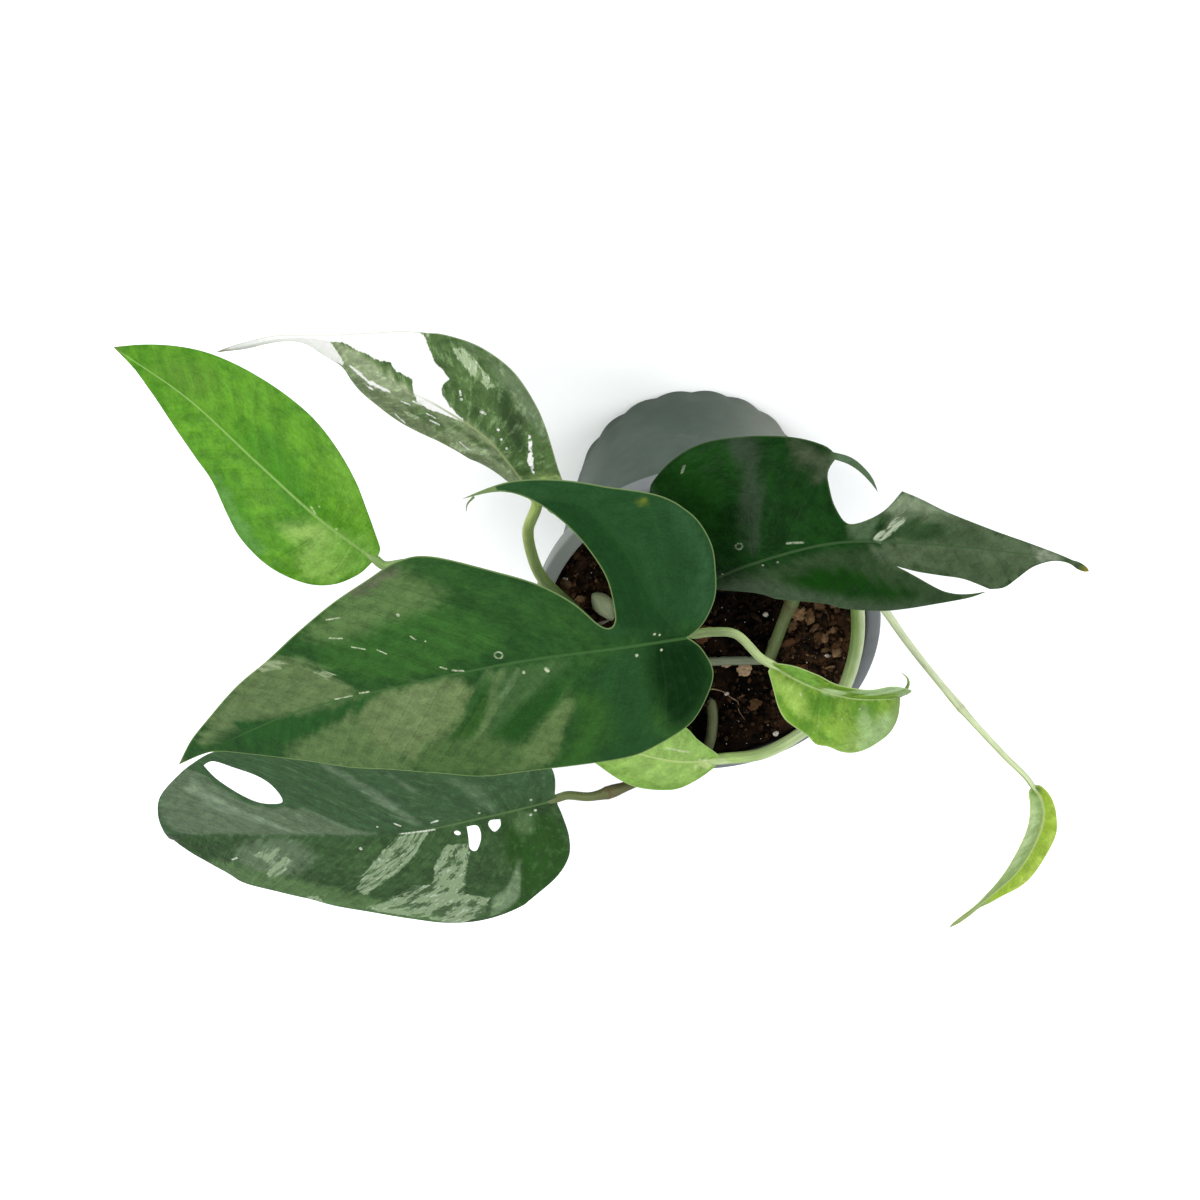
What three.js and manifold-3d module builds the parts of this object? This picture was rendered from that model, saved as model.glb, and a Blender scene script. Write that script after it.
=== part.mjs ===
// A potted albo dragon tail plant, a climbing aroid with split and white-marked leaves, in a plain
// plastic nursery pot. Millimetres, +Z up, origin at the middle of the pot's underside.
// Every leaf blade, petiole group, the pot and the soil is one closed solid.

import * as THREE from "three";
import { ConvexHull } from "three/addons/math/ConvexHull.js";
import { mergeVertices } from "three/addons/utils/BufferGeometryUtils.js";
import Module from "manifold-3d";

const wasm = await Module();
wasm.setup();

// Pot
const POT_HEIGHT = 97;
const RIM_RADIUS = 60;
const MOUTH_RADIUS = 55;
const BASE_RADIUS = 43.6;
const WALL = 1.3;
const FLOOR = 1.8;
const COLLAR_HEIGHT = 9;
const COLLAR_THICKNESS = 1.4;
const COLLAR_DRAFT = 0.5;
const LIP_ROUND = 0.7;
const POT_SIDES = 80;
const SCALLOPS = 20;
const SCALLOP_DEPTH = 1;
const SCALLOP_HEIGHT = 14;
const DRAIN_COUNT = 8;
const DRAIN_RADIUS = 3.5;
const DRAIN_CIRCLE = 28;
const DRAIN_SIDES = 16;

// Soil
const GAP = 0.3;
const SOIL_LEVEL = 90;
const SOIL_SIDES = 44;
const SOIL_RINGS = 9;
const BANK_HEIGHT = 5;
const BANK_WIDTH = 14;
const BANK_TOWARDS = -50;
const BANK_REACH = 0.4;
const SOIL_RELIEF = 1.1;
const CHIP_COUNT = 14;
const CHIP_SIZES = [4, 9];
const CHIP_THICKNESS = 2.4;
const CHIP_TILT = 0.5;
const CHIP_FIELD = 0.86;
const CHIP_SEED = 7;

// Blades and stems
const BLADE = 0.8;
const RIDGE = 1.2;
const RIDGE_HALF_WIDTH = 2.5;
const MARGIN_STEP = 4.5;
const BLADE_STEP = 8;
const MIDRIB_STEP = 6;
const STEM_SIDES = 8;
const STEM_STEP = 6;
const SWELL_SPREAD = 0.05;
const ROW_CLEARANCE = 0.9;
const GRID_CLEARANCE = 3.6;
const END_JOINT = [[-4, 1.3], [-GAP, 1]];
const BELOW_JOINT = [[1.5, 8], [2, BLADE + RIDGE + GAP]];

/** Plain materials, by the colour each piece has at a glance. */
function material(color, roughness) {
  return new THREE.MeshStandardMaterial({ color, roughness, metalness: 0 });
}

const MATERIALS = {
  pot: material(0x6f7674, 0.55),
  soil: material(0x3a241b, 0.95),
  darkLeaf: material(0x1f5128, 0.4),
  brightLeaf: material(0x4f9a2c, 0.45),
  whiteLeaf: material(0xa9b79c, 0.45),
  youngLeaf: material(0x9cc153, 0.45),
  stem: material(0x9db274, 0.5),
};

/** Each leaf: the midrib in space from base to tip, and the blade laid flat beside it.
 *  outline: smooth stretches of the margin, round the blade from the base, as [along, across];
 *  across is positive on the left, looking from base to tip with the upper face up.
 *  up: the side the upper face looks to. fold and curl, for the left and the right half: degrees at
 *  the midrib, and degrees more for each 10 mm out from it.
 *  joint: "end" where the petiole runs on into the midrib, "below" where it comes up under it. */
const LEAVES = [
  {
    name: "leaf_left",
    look: "brightLeaf",
    midrib: [[-107, 50, 126], [-123, 64, 124], [-142, 79, 114], [-164, 95, 100], [-189, 106, 84]],
    up: [-0.25, 0.35, 0.9],
    fold: [8, 8],
    curl: [-2, -2],
    joint: "end",
    outline: [
      [[0, 2.4], [0, -2.4]],
      [[0, -2.4], [1, -4.5], [5, -7.5], [12, -12.5], [21, -18.5], [31, -22.5], [42, -24.5], [54, -24],
        [66, -21.5], [78, -17.5], [90, -12], [101, -6], [110, 0]],
      [[110, 0], [100, 2], [90, 5.5], [78, 9.5], [65, 12.5], [55, 14.5], [45, 19], [36, 22], [24, 22.5],
        [12, 19.5], [5, 14.5], [1, 7.5], [0, 2.4]],
    ],
  },
  {
    name: "leaf_white",
    look: "whiteLeaf",
    midrib: [[-56.8, 77.3, 132.4], [-69, 93, 128], [-83, 100, 120], [-96, 103, 110], [-115, 110, 95],
      [-134, 108, 85], [-149, 103.3, 80.5], [-158, 101.5, 80]],
    up: [-0.2, 0.75, 0.6],
    fold: [-58, 5],
    curl: [-2, -2],
    joint: "end",
    outline: [
      [[0, 2.4], [0, -2.4]],
      [[0, -2.4], [-5, -1], [-9.5, -0.8], [-12, -3], [-11.5, -6.5], [-8, -8.8], [-3, -10.3], [2, -12],
        [9, -14.5], [18, -18], [27, -21.5], [37, -22.5], [47, -21.5], [56, -19.5], [65, -15],
        [73, -8.5], [80, -4], [87, -2], [97, -1.3], [110, -1.6], [120, -1.3], [127, 0]],
      [[127, 0], [118, 1.1], [107, 1.2], [98, 1.5], [93, 3.2], [90, 5.4], [86, 7.2], [81, 9],
        [76, 12.8], [70, 15], [60, 15.3], [47, 15], [31, 13.7], [17, 13], [7, 8], [1, 4.5], [0, 2.4]],
    ],
  },
  {
    name: "leaf_top",
    look: "darkLeaf",
    midrib: [[-11, 58, 186], [-29, 58, 190], [-59, 54, 190], [-95, 42, 184], [-129, 26, 174],
      [-171, -5, 158]],
    up: [0, 0.1, 1],
    fold: [6, 6],
    curl: [-2.5, -2.5],
    joint: "below",
    outline: [
      [[0, 0], [-4.5, -4], [-8, -12], [-8.3, -21], [-7, -30], [-2, -39], [7, -45.5], [18, -50], [30, -54],
        [41, -55.4], [51, -53]],
      [[51, -53], [43, -53], [36.5, -49], [30, -41], [25, -32], [21.5, -22.5], [20.5, -12], [21, -8.3],
        [22.6, -7], [25.5, -9], [31, -16.5], [38.5, -23.5], [47.5, -29.5], [62, -38.5], [71, -39.5],
        [82, -36], [94, -32], [108, -26], [122, -20], [136, -16], [152, -11], [168, -6], [181, 0]],
      [[181, 0], [169, 0.3], [162, 2], [150, 8.5], [136, 16], [120, 23], [104, 27], [90, 31], [75, 35.5],
        [56, 36.6], [36, 36.8], [20, 36], [8, 33], [0, 28], [-5, 20], [-7.2, 12], [-4, 4], [0, 0]],
    ],
  },
  {
    name: "leaf_low",
    look: "darkLeaf",
    midrib: [[-53, -57, 116], [-77, -62, 118], [-111, -74, 112], [-155, -82, 101], [-186, -90, 90],
      [-198, -97, 85], [-199, -99, 79], [-194, -98, 70]],
    up: [0, -0.1, 1],
    fold: [6, 6],
    curl: [-2, -2],
    joint: "end",
    outline: [
      [[0, 2.4], [0, -2.4]],
      [[0, -2.4], [-2, -11], [-1.5, -18], [3, -29], [14, -38], [32, -43], [55, -45], [80, -45.5],
        [102, -45.5], [115, -44], [126, -38], [135, -31], [143, -23.5], [149, -15], [154, -6],
        [164, -2.5], [178, 0]],
      [[178, 0], [164, 2.5], [157, 4], [152, 11], [147, 19], [139, 26], [120, 30.5], [98, 36.6],
        [82, 40], [69, 44.5], [58, 49.5], [48, 50.5], [34, 47.5], [20, 43], [8.6, 36.8], [2, 28],
        [-0.5, 18], [-0.5, 8], [0, 2.4]],
    ],
    holes: [
      [[121.5, -37.5], [117, -39.6], [111, -37], [105, -33.5], [100.5, -28.5], [98.5, -22], [99.5, -18],
        [105, -17.5], [110, -19.7], [115, -24.5], [119.5, -31]],
      [[34, 2.3], [30, 3], [31, 8.5], [35.5, 14], [37.5, 12.5], [35.5, 7]],
      [[21, 2.4], [24.5, 1.8], [26, 4], [25, 7.3], [22, 5.5]],
    ],
  },
  {
    name: "leaf_right",
    look: "darkLeaf",
    midrib: [[-4, 60, 160], [9, 70, 166], [32, 77, 167], [57, 72, 160], [85, 63, 151],
      [106.6, 55.2, 144.5], [116, 48, 140]],
    up: [0.1, 0.4, 0.9],
    fold: [6, -20],
    curl: [-2, -4],
    joint: "below",
    outline: [
      [[0, 0], [1, -4], [12, -11.8], [28.5, -18.7], [47, -23], [62, -24.6], [74.5, -23.5], [86, -20.7],
        [96, -17.5], [100.5, -14.8]],
      [[100.5, -14.8], [95, -16.3], [89, -16.5], [82, -14.8], [65, -8]],
      [[65, -8], [73, -9.6], [82, -10.4], [91, -11], [101.5, -13.6]],
      [[101.5, -13.6], [106, -12.5], [109, -9], [112.5, -4.6], [117, -2], [121, -0.9], [126, -0.7],
        [130.5, -1.2], [134, -0.9], [136, 0]],
      [[136, 0], [134, 0.8], [130, 1.1], [126, 0.8], [120, 1.4], [113, 2.6], [106, 4], [93, 6.5],
        [78, 10], [68, 13.5], [61.6, 15.3]],
      [[61.6, 15.3], [57, 9.5], [51, 6], [46, 5.6], [43, 11], [42, 18], [42.2, 21.5], [43.6, 24.4]],
      [[43.6, 24.4], [46.4, 22.7], [49, 20.4], [51.4, 17.8], [54, 14.8]],
      [[54, 14.8], [52.2, 18.6], [49.6, 22], [46.8, 24.8], [43.4, 26.6]],
      [[43.4, 26.6], [41.5, 29.2], [36, 33], [26, 37], [16, 38.9], [7, 36], [-1, 32], [-8, 24],
        [-10, 14], [-6, 5], [0, 0]],
    ],
  },
  {
    name: "leaf_young",
    look: "youngLeaf",
    midrib: [[16, 30, 161], [25, 25, 163], [33, 21, 163], [42, 16, 160], [52, 12.5, 156],
      [60, 9.5, 151]],
    up: [0, 0.1, 1],
    fold: [42, 22],
    curl: [0, 0],
    joint: "end",
    outline: [
      [[0, 2], [0, -2]],
      [[0, -2], [4.5, -6.3], [8, -10], [11, -12.4], [14, -13.4], [18.5, -14.6], [22.5, -16.5],
        [26.5, -16.3], [30.5, -17.2], [34, -16.9], [38, -15.4], [43.5, -12.6], [47, -9.6],
        [49, -5.5], [49.2, 0]],
      [[49.2, 0], [48.6, 4], [45.5, 8.8], [41.5, 11.8], [35, 14.5], [28, 11.8], [21.5, 8.6],
        [17.5, 7.8], [12, 9.2], [5.5, 7.3], [0, 2]],
    ],
  },
  {
    name: "leaf_rim",
    look: "youngLeaf",
    midrib: [[4, -49, 106], [-10, -46, 110], [-28, -38, 113], [-46, -29, 112], [-62, -20, 108]],
    up: [0, 0, 1],
    fold: [4, 4],
    curl: [-3, -3],
    joint: "end",
    outline: [
      [[0, 2.4], [0, -2.4]],
      [[0, -2.4], [3, -5], [9.5, -10], [17, -15], [28, -18.5], [42, -17], [56, -10], [73, 0]],
      [[73, 0], [56, 5.5], [42, 9.5], [32, 12.7], [24, 14], [13.5, 12.5], [7, 8.5], [2.5, 5], [0, 2.4]],
    ],
  },
  {
    name: "leaf_trailing",
    look: "youngLeaf",
    midrib: [[104.5, -29.3, 149.8], [107, -32.6, 150.8], [108.7, -39, 151.2], [108, -49, 151],
      [103.2, -66, 149], [95, -79.5, 146.8], [83, -97, 143]],
    up: [0, 0, 1],
    fold: [14, 34],
    curl: [0, 0],
    joint: "end",
    outline: [
      [[0, 2], [0, -2]],
      [[0, -2], [2, -3.5], [8.5, -6], [19, -7.5], [29.5, -8], [40, -7.2], [49, -4.8], [56, -2.8],
        [62, -1.6], [68, -1.7], [72.5, -1.2], [76, 0]],
      [[76, 0], [72, 0.8], [66.5, 1], [61, 0.9], [56, 1.9], [50.5, 2.8], [44, 4.3], [38, 4.9],
        [28.5, 5], [18.5, 5.2], [12.5, 4.2], [5, 3.2], [1, 2.6], [0, 2]],
    ],
  },
];

/** Stems and petioles that grow as one piece. Each limb: points in space, and its radius at its foot and
 *  at its end. leaf: the limb goes on to that leaf's base. swell: nodes, as [share of its length, extra
 *  radius, and the share of the length that it spreads over where that isn't SWELL_SPREAD]. */
const STEMS = [
  {
    name: "petiole_left",
    limbs: [
      {
        points: [[-37, -26, 84], [-49, -15, 97], [-58, 8, 106], [-78, 32, 115], [-96, 47, 124]],
        radius: [2, 1.5],
        leaf: "leaf_left",
      },
    ],
  },
  {
    name: "petiole_white",
    limbs: [
      {
        points: [[-31, -10, 84], [-37, 0, 95], [-45, 15, 103], [-50.5, 24.5, 108], [-55, 34.5, 113.5],
          [-57.5, 47, 119.5], [-58, 59, 125]],
        radius: [2.1, 1.7],
        leaf: "leaf_white",
      },
    ],
  },
  {
    name: "petiole_top",
    limbs: [
      {
        points: [[-14, 16, 84], [-16, 32, 108], [-17, 47, 138], [-16, 55, 165]],
        radius: [2.6, 1.9],
        leaf: "leaf_top",
      },
    ],
  },
  {
    name: "petiole_low",
    limbs: [
      {
        points: [[2, -32, 84], [3, -41, 93], [0, -50, 99.5], [-8, -54.5, 100.5], [-20, -57.5, 103],
          [-30, -58.5, 108], [-41, -58, 113]],
        radius: [2.1, 1.5],
        leaf: "leaf_low",
        swell: [[0.72, 0.7]],
      },
    ],
  },
  {
    name: "petiole_right",
    limbs: [
      {
        points: [[0, 18, 84], [-1, 30, 108], [-3, 45, 132], [-4, 56, 148]],
        radius: [2.4, 1.8],
        leaf: "leaf_right",
      },
    ],
  },
  {
    name: "petiole_young",
    limbs: [
      {
        points: [[-8, 6, 84], [-9, 18, 112], [-9, 28, 137], [-7, 35, 150], [-2, 39, 155], [5, 40, 158]],
        radius: [1.8, 1.3],
        leaf: "leaf_young",
      },
    ],
  },
  {
    name: "vine_right",
    limbs: [
      {
        points: [[22, -24, 84], [23, -14, 92], [28, 10, 99], [34, 29, 108], [42, 36, 114]],
        radius: [2.1, 2],
        swell: [[0.55, 0.4], [0.97, 0.6]],
      },
      {
        points: [[-16, -17, 84], [-4, -17, 90], [8, -16.5, 91], [22.5, -17, 90.5]],
        radius: [1.6, 1.6],
      },
      {
        points: [[39, 34, 112], [47, 25.5, 109], [50.5, 11, 104.5], [50.7, -6, 103.2], [46.2, -24, 103.2],
          [35, -37.8, 103.7], [20, -47.2, 104.7]],
        radius: [2.5, 2],
        leaf: "leaf_rim",
      },
      {
        points: [[41, 35.5, 113.5], [50, 32, 119], [57, 22.7, 122], [64.6, 12.8, 127], [80, -4.7, 136],
          [95, -19.6, 144.5]],
        radius: [1.5, 1.05],
        leaf: "leaf_trailing",
        swell: [[0.6, 0.25]],
      },
    ],
  },
  {
    name: "bud",
    limbs: [
      {
        points: [[-31, -2, 82], [-32.5, 3, 90], [-34.5, 9, 93.5], [-37, 13.5, 95], [-39, 16, 95.5]],
        radius: [1.8, 0.7],
        swell: [[0.7, 2.4, 0.2]],
      },
    ],
  },
];

/** A number that runs from 0 to 1, the same each time for one seed. */
function seeded(seed) {
  let state = seed;
  return () => {
    state = (state * 1664525 + 1013904223) % 4294967296;
    return state / 4294967296;
  };
}

function bareOf(geometry) {
  geometry.deleteAttribute("normal");
  geometry.deleteAttribute("uv");
  return geometry;
}

/** A mesh geometry as a solid that can be joined and cut. */
function solidOf(geometry) {
  const merged = mergeVertices(bareOf(geometry.clone()), 1e-4);
  return new wasm.Manifold(
    new wasm.Mesh({
      numProp: 3,
      vertProperties: merged.attributes.position.array,
      triVerts: new Uint32Array(merged.index.array),
    }),
  );
}

/** The solid's surface, as a geometry to draw. */
function geometryOf(solid) {
  const mesh = solid.getMesh();
  return surface(Array.from(mesh.vertProperties), Array.from(mesh.triVerts));
}

function surface(positions, indices) {
  const geometry = new THREE.BufferGeometry();
  geometry.setAttribute("position", new THREE.Float32BufferAttribute(positions, 3));
  geometry.setIndex(indices);
  geometry.computeVertexNormals();
  return geometry;
}

/** A closed profile of [radius, height] turned about +Z. */
function turned(profile, sides) {
  const points = profile.map(([radius, height]) => new THREE.Vector2(radius, height));
  const geometry = new THREE.LatheGeometry(points, sides).rotateX(Math.PI / 2);
  return mergeVertices(bareOf(geometry), 1e-4);
}

/** Moves each vertex of a geometry by a rule. */
function reshape(geometry, rule) {
  const position = geometry.attributes.position;
  const point = new THREE.Vector3();
  for (let i = 0; i < position.count; i += 1) {
    point.fromBufferAttribute(position, i);
    rule(point);
    position.setXYZ(i, point.x, point.y, point.z);
  }
  return geometry;
}

/** Inner radius of the pot's wall at a height. */
function boreRadius(z) {
  return THREE.MathUtils.mapLinear(z, 0, POT_HEIGHT, BASE_RADIUS - WALL - SCALLOP_DEPTH, MOUTH_RADIUS);
}

/** The pot: a tapered shell with a turned-over collar, a scalloped foot and drain holes. */
function potSolid() {
  const wallTop = POT_HEIGHT - COLLAR_THICKNESS;
  const outerTop = MOUTH_RADIUS + WALL;
  const skirt = RIM_RADIUS - COLLAR_THICKNESS;
  const collarFoot = POT_HEIGHT - COLLAR_HEIGHT;
  const wallRadius = (z) => THREE.MathUtils.mapLinear(z, 0, POT_HEIGHT, BASE_RADIUS, outerTop);
  const profile = [
    [0, 0],
    [BASE_RADIUS, 0],
    [wallRadius(SCALLOP_HEIGHT / 2), SCALLOP_HEIGHT / 2],
    [wallRadius(SCALLOP_HEIGHT), SCALLOP_HEIGHT],
    [outerTop, wallTop],
    [skirt, wallTop],
    [skirt - COLLAR_DRAFT, collarFoot],
    [RIM_RADIUS - COLLAR_DRAFT, collarFoot],
    [RIM_RADIUS, POT_HEIGHT - LIP_ROUND],
    [RIM_RADIUS - LIP_ROUND, POT_HEIGHT],
    [MOUTH_RADIUS + LIP_ROUND, POT_HEIGHT],
    [boreRadius(POT_HEIGHT - LIP_ROUND), POT_HEIGHT - LIP_ROUND],
    [boreRadius(FLOOR), FLOOR],
    [0, FLOOR],
  ];
  const shell = reshape(turned(profile, POT_SIDES), (p) => {
    const radius = Math.hypot(p.x, p.y);
    const fade = 1 - p.z / SCALLOP_HEIGHT;
    if (radius < boreRadius(p.z) + WALL / 2 || fade <= 0) return;
    const wave = Math.abs(Math.sin((SCALLOPS / 2) * Math.atan2(p.y, p.x)));
    const pulled = radius - SCALLOP_DEPTH * fade * (1 - wave);
    p.multiply(new THREE.Vector3(pulled / radius, pulled / radius, 1));
  });
  let pot = solidOf(shell);
  for (let i = 0; i < DRAIN_COUNT; i += 1) {
    const angle = (2 * Math.PI * i) / DRAIN_COUNT;
    const drain = new THREE.CylinderGeometry(DRAIN_RADIUS, DRAIN_RADIUS, 4 * FLOOR, DRAIN_SIDES);
    drain.rotateX(Math.PI / 2);
    drain.translate(DRAIN_CIRCLE * Math.cos(angle), DRAIN_CIRCLE * Math.sin(angle), FLOOR / 2);
    pot = pot.subtract(solidOf(drain));
  }
  return pot;
}

/** Height of the soil's lumpy top over a point. It is banked up against the wall on one side. */
function soilTop(x, y) {
  const out = THREE.MathUtils.smoothstep(Math.hypot(x, y), MOUTH_RADIUS - BANK_WIDTH, MOUTH_RADIUS);
  const turn = Math.atan2(y, x) - THREE.MathUtils.degToRad(BANK_TOWARDS);
  const bank = BANK_HEIGHT * out * THREE.MathUtils.clamp(BANK_REACH + Math.cos(turn), 0, 1);
  const lumps =
    Math.sin(0.31 * x + 1.3) * Math.cos(0.27 * y - 0.4) +
    0.6 * Math.sin(0.53 * x - 0.37 * y) +
    0.4 * Math.cos(0.71 * y + 0.45 * x);
  return SOIL_LEVEL + SOIL_RELIEF * (lumps / 2) + bank;
}

/** The soil: it fills the pot to just under the rim, with chips of bark standing out of the top. */
function soilSolid(holes) {
  const foot = FLOOR + GAP;
  const edge = boreRadius(SOIL_LEVEL) - 2 * GAP;
  const profile = [[0, foot], [boreRadius(foot) - 2 * GAP, foot]];
  for (let i = SOIL_RINGS; i >= 0; i -= 1) profile.push([(edge * i) / SOIL_RINGS, SOIL_LEVEL]);
  let soil = solidOf(
    reshape(turned(profile, SOIL_SIDES), (p) => {
      if (p.z > foot + 1) p.z = soilTop(p.x, p.y);
    }),
  );
  const random = seeded(CHIP_SEED);
  for (let i = 0; i < CHIP_COUNT; i += 1) {
    const reach = edge * CHIP_FIELD * Math.sqrt(random());
    const angle = 2 * Math.PI * random();
    const long = THREE.MathUtils.lerp(CHIP_SIZES[0], CHIP_SIZES[1], random());
    const chip = new THREE.BoxGeometry(long, long * (0.45 + 0.3 * random()), CHIP_THICKNESS);
    chip.rotateX(CHIP_TILT * (random() - 0.5));
    chip.rotateY(CHIP_TILT * (random() - 0.5));
    chip.rotateZ(2 * Math.PI * random());
    const x = reach * Math.cos(angle);
    const y = reach * Math.sin(angle);
    chip.translate(x, y, soilTop(x, y));
    soil = soil.add(solidOf(chip));
  }
  for (const hole of holes) soil = soil.subtract(hole);
  return largest(soil);
}

/** Drops the loose scraps that a cut leaves. */
function largest(solid) {
  return solid.decompose().reduce((best, body) => (body.volume() > best.volume() ? body : best));
}

/** Points a set step apart round an outline of smooth stretches. */
function sampled(stretches, step) {
  const points = [];
  for (const stretch of stretches) {
    const curve = new THREE.SplineCurve(stretch.map(([x, y]) => new THREE.Vector2(x, y)));
    const count = Math.max(2, Math.round(curve.getLength() / step));
    points.push(...curve.getSpacedPoints(count).slice(0, -1));
  }
  return points;
}

function inside(point, loop) {
  let odd = false;
  for (let i = 0; i < loop.length; i += 1) {
    const a = loop[i];
    const b = loop[(i + 1) % loop.length];
    if (a.y > point.y === b.y > point.y) continue;
    const crossing = a.x + ((b.x - a.x) * (point.y - a.y)) / (b.y - a.y);
    if (point.x < crossing) odd = !odd;
  }
  return odd;
}

function distanceToLoop(point, loop) {
  let least = Infinity;
  const line = new THREE.Vector2();
  const reach = new THREE.Vector2();
  for (let i = 0; i < loop.length; i += 1) {
    line.subVectors(loop[(i + 1) % loop.length], loop[i]);
    reach.subVectors(point, loop[i]);
    const share = THREE.MathUtils.clamp(reach.dot(line) / line.lengthSq(), 0, 1);
    least = Math.min(least, reach.addScaledVector(line, -share).length());
  }
  return least;
}

/** The even triangles between points: the lower hull of the points lifted onto a bowl. */
function delaunay(points) {
  const lifted = points.map((p, i) => Object.assign(new THREE.Vector3(p.x, p.y, p.lengthSq() / 50), { i }));
  const hull = new ConvexHull().setFromPoints(lifted);
  const triangles = [];
  for (const face of hull.faces) {
    if (face.normal.z >= 0) continue;
    const { edge } = face;
    const [a, b, c] = [edge.vertex.point.i, edge.next.vertex.point.i, edge.prev.vertex.point.i];
    triangles.push([c, b, a]);
  }
  return triangles;
}

/** Splits every margin edge that the triangles miss, until they keep them all. */
function triangulated(loops, inner) {
  for (let round = 0; round < 8; round += 1) {
    const points = [...loops.flat(), ...inner];
    const triangles = delaunay(points).filter((triangle) => {
      const middle = new THREE.Vector2();
      for (const i of triangle) middle.addScaledVector(points[i], 1 / 3);
      return inside(middle, loops[0]) && !loops.slice(1).some((hole) => inside(middle, hole));
    });
    const edges = new Set(triangles.flatMap(([a, b, c]) => [`${a},${b}`, `${b},${c}`, `${c},${a}`]));
    let first = 0;
    let missing = 0;
    const finer = loops.map((loop) => {
      const next = [];
      loop.forEach((point, i) => {
        const a = first + i;
        const b = first + ((i + 1) % loop.length);
        next.push(point);
        if (edges.has(`${a},${b}`) || edges.has(`${b},${a}`)) return;
        missing += 1;
        next.push(point.clone().lerp(loop[(i + 1) % loop.length], 0.5));
      });
      first += loop.length;
      return next;
    });
    if (!missing) return { points, triangles };
    loops = finer;
  }
  throw new Error("the margin is too fine for its step");
}

/** Where a leaf's midrib runs and which way its blade faces, at a distance from its base. */
function leafFrame(leaf) {
  const curve = new THREE.CatmullRomCurve3(leaf.midrib.map((p) => new THREE.Vector3(...p)));
  const length = curve.getLength();
  const up = new THREE.Vector3(...leaf.up);
  return (along) => {
    const share = THREE.MathUtils.clamp(along / length, 0, 1);
    const ahead = curve.getTangentAt(share);
    const normal = up.clone().addScaledVector(ahead, -up.dot(ahead)).normalize();
    const left = new THREE.Vector3().crossVectors(normal, ahead);
    const beyond = along - share * length;
    return { at: curve.getPointAt(share).addScaledVector(ahead, beyond), ahead, normal, left, share };
  };
}

/** The point of a leaf's blade at [along, across], a depth under its upper face. */
function bladePoint(leaf, frame, { x, y }, depth) {
  const { at, normal, left } = frame(x);
  const side = y < 0 ? -1 : 1;
  const half = y < 0 ? 1 : 0;
  const fold = THREE.MathUtils.degToRad(leaf.fold[half]);
  const curl = THREE.MathUtils.degToRad(leaf.curl[half]) / 10 || 1e-6;
  const turn = fold + curl * Math.abs(y);
  const out = (Math.sin(turn) - Math.sin(fold)) / curl;
  const rise = (Math.cos(fold) - Math.cos(turn)) / curl;
  const tilt = y === 0 ? 0 : turn;
  return at
    .clone()
    .addScaledVector(left, side * (out + depth * Math.sin(tilt)))
    .addScaledVector(normal, rise - depth * Math.cos(tilt));
}

/** How thick a blade is: even, with the midrib standing out below and thinning to the tip. */
function thickness(length, { x, y }) {
  const taper = THREE.MathUtils.clamp(1 - x / length, 0, 1);
  return BLADE + RIDGE * taper * Math.max(0, 1 - Math.abs(y) / RIDGE_HALF_WIDTH);
}

/** Points inside the blade: rows along the midrib, and an even grid over the rest. */
function innerPoints(loops, length) {
  const rows = [];
  for (let x = MIDRIB_STEP / 2; x < length; x += MIDRIB_STEP) {
    for (const y of [-RIDGE_HALF_WIDTH, 0, RIDGE_HALF_WIDTH]) rows.push(new THREE.Vector2(x, y));
  }
  const grid = [];
  const rise = BLADE_STEP * Math.sqrt(0.75);
  const lastRow = Math.ceil(Math.max(...loops[0].map(({ y }) => Math.abs(y))) / rise);
  for (let row = -lastRow; row <= lastRow; row += 1) {
    for (let i = -3; i * BLADE_STEP < length + BLADE_STEP; i += 1) {
      const point = new THREE.Vector2((i + (row % 2 ? 0.5 : 0)) * BLADE_STEP, row * rise);
      if (Math.abs(point.y) > RIDGE_HALF_WIDTH + BLADE_STEP / 2) grid.push(point);
    }
  }
  const clear = (point, least) =>
    inside(point, loops[0]) &&
    !loops.slice(1).some((hole) => inside(point, hole)) &&
    loops.every((loop) => distanceToLoop(point, loop) > least);
  return [
    ...rows.filter((point) => clear(point, ROW_CLEARANCE)),
    ...grid.filter((point) => clear(point, GRID_CLEARANCE)),
  ];
}

/** One blade: both faces split into the same triangles, with the cut edge between them. */
function leafSolid(leaf) {
  const frame = leafFrame(leaf);
  const length = Math.max(...leaf.outline.flat().map(([along]) => along));
  const holes = (leaf.holes || []).map((hole) => sampled([[...hole, hole[0]]], MARGIN_STEP / 2));
  const loops = [sampled(leaf.outline, MARGIN_STEP), ...holes];
  const { points, triangles } = triangulated(loops, innerPoints(loops, length));
  const positions = [];
  for (const point of points) positions.push(...bladePoint(leaf, frame, point, 0).toArray());
  for (const point of points) {
    positions.push(...bladePoint(leaf, frame, point, thickness(length, point)).toArray());
  }
  const under = points.length;
  const indices = [];
  const count = new Map();
  for (const [a, b, c] of triangles) {
    indices.push(a, b, c, under + c, under + b, under + a);
    for (const [from, to] of [[a, b], [b, c], [c, a]]) count.set(`${from},${to}`, [from, to]);
  }
  for (const [from, to] of count.values()) {
    if (count.has(`${to},${from}`)) continue;
    indices.push(to, from, under + from, to, under + from, under + to);
  }
  return solidOf(surface(positions, indices));
}

/** The last two points of a limb that carries a leaf: in line with the midrib, or up under it. */
function jointPoints(leaf) {
  const { at, ahead, normal } = leafFrame(leaf)(0);
  const place = (along, below) => at.clone().addScaledVector(ahead, along).addScaledVector(normal, -below);
  const joint = leaf.joint === "end" ? END_JOINT : BELOW_JOINT;
  return joint.map(([along, below]) => place(along, below));
}

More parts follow.
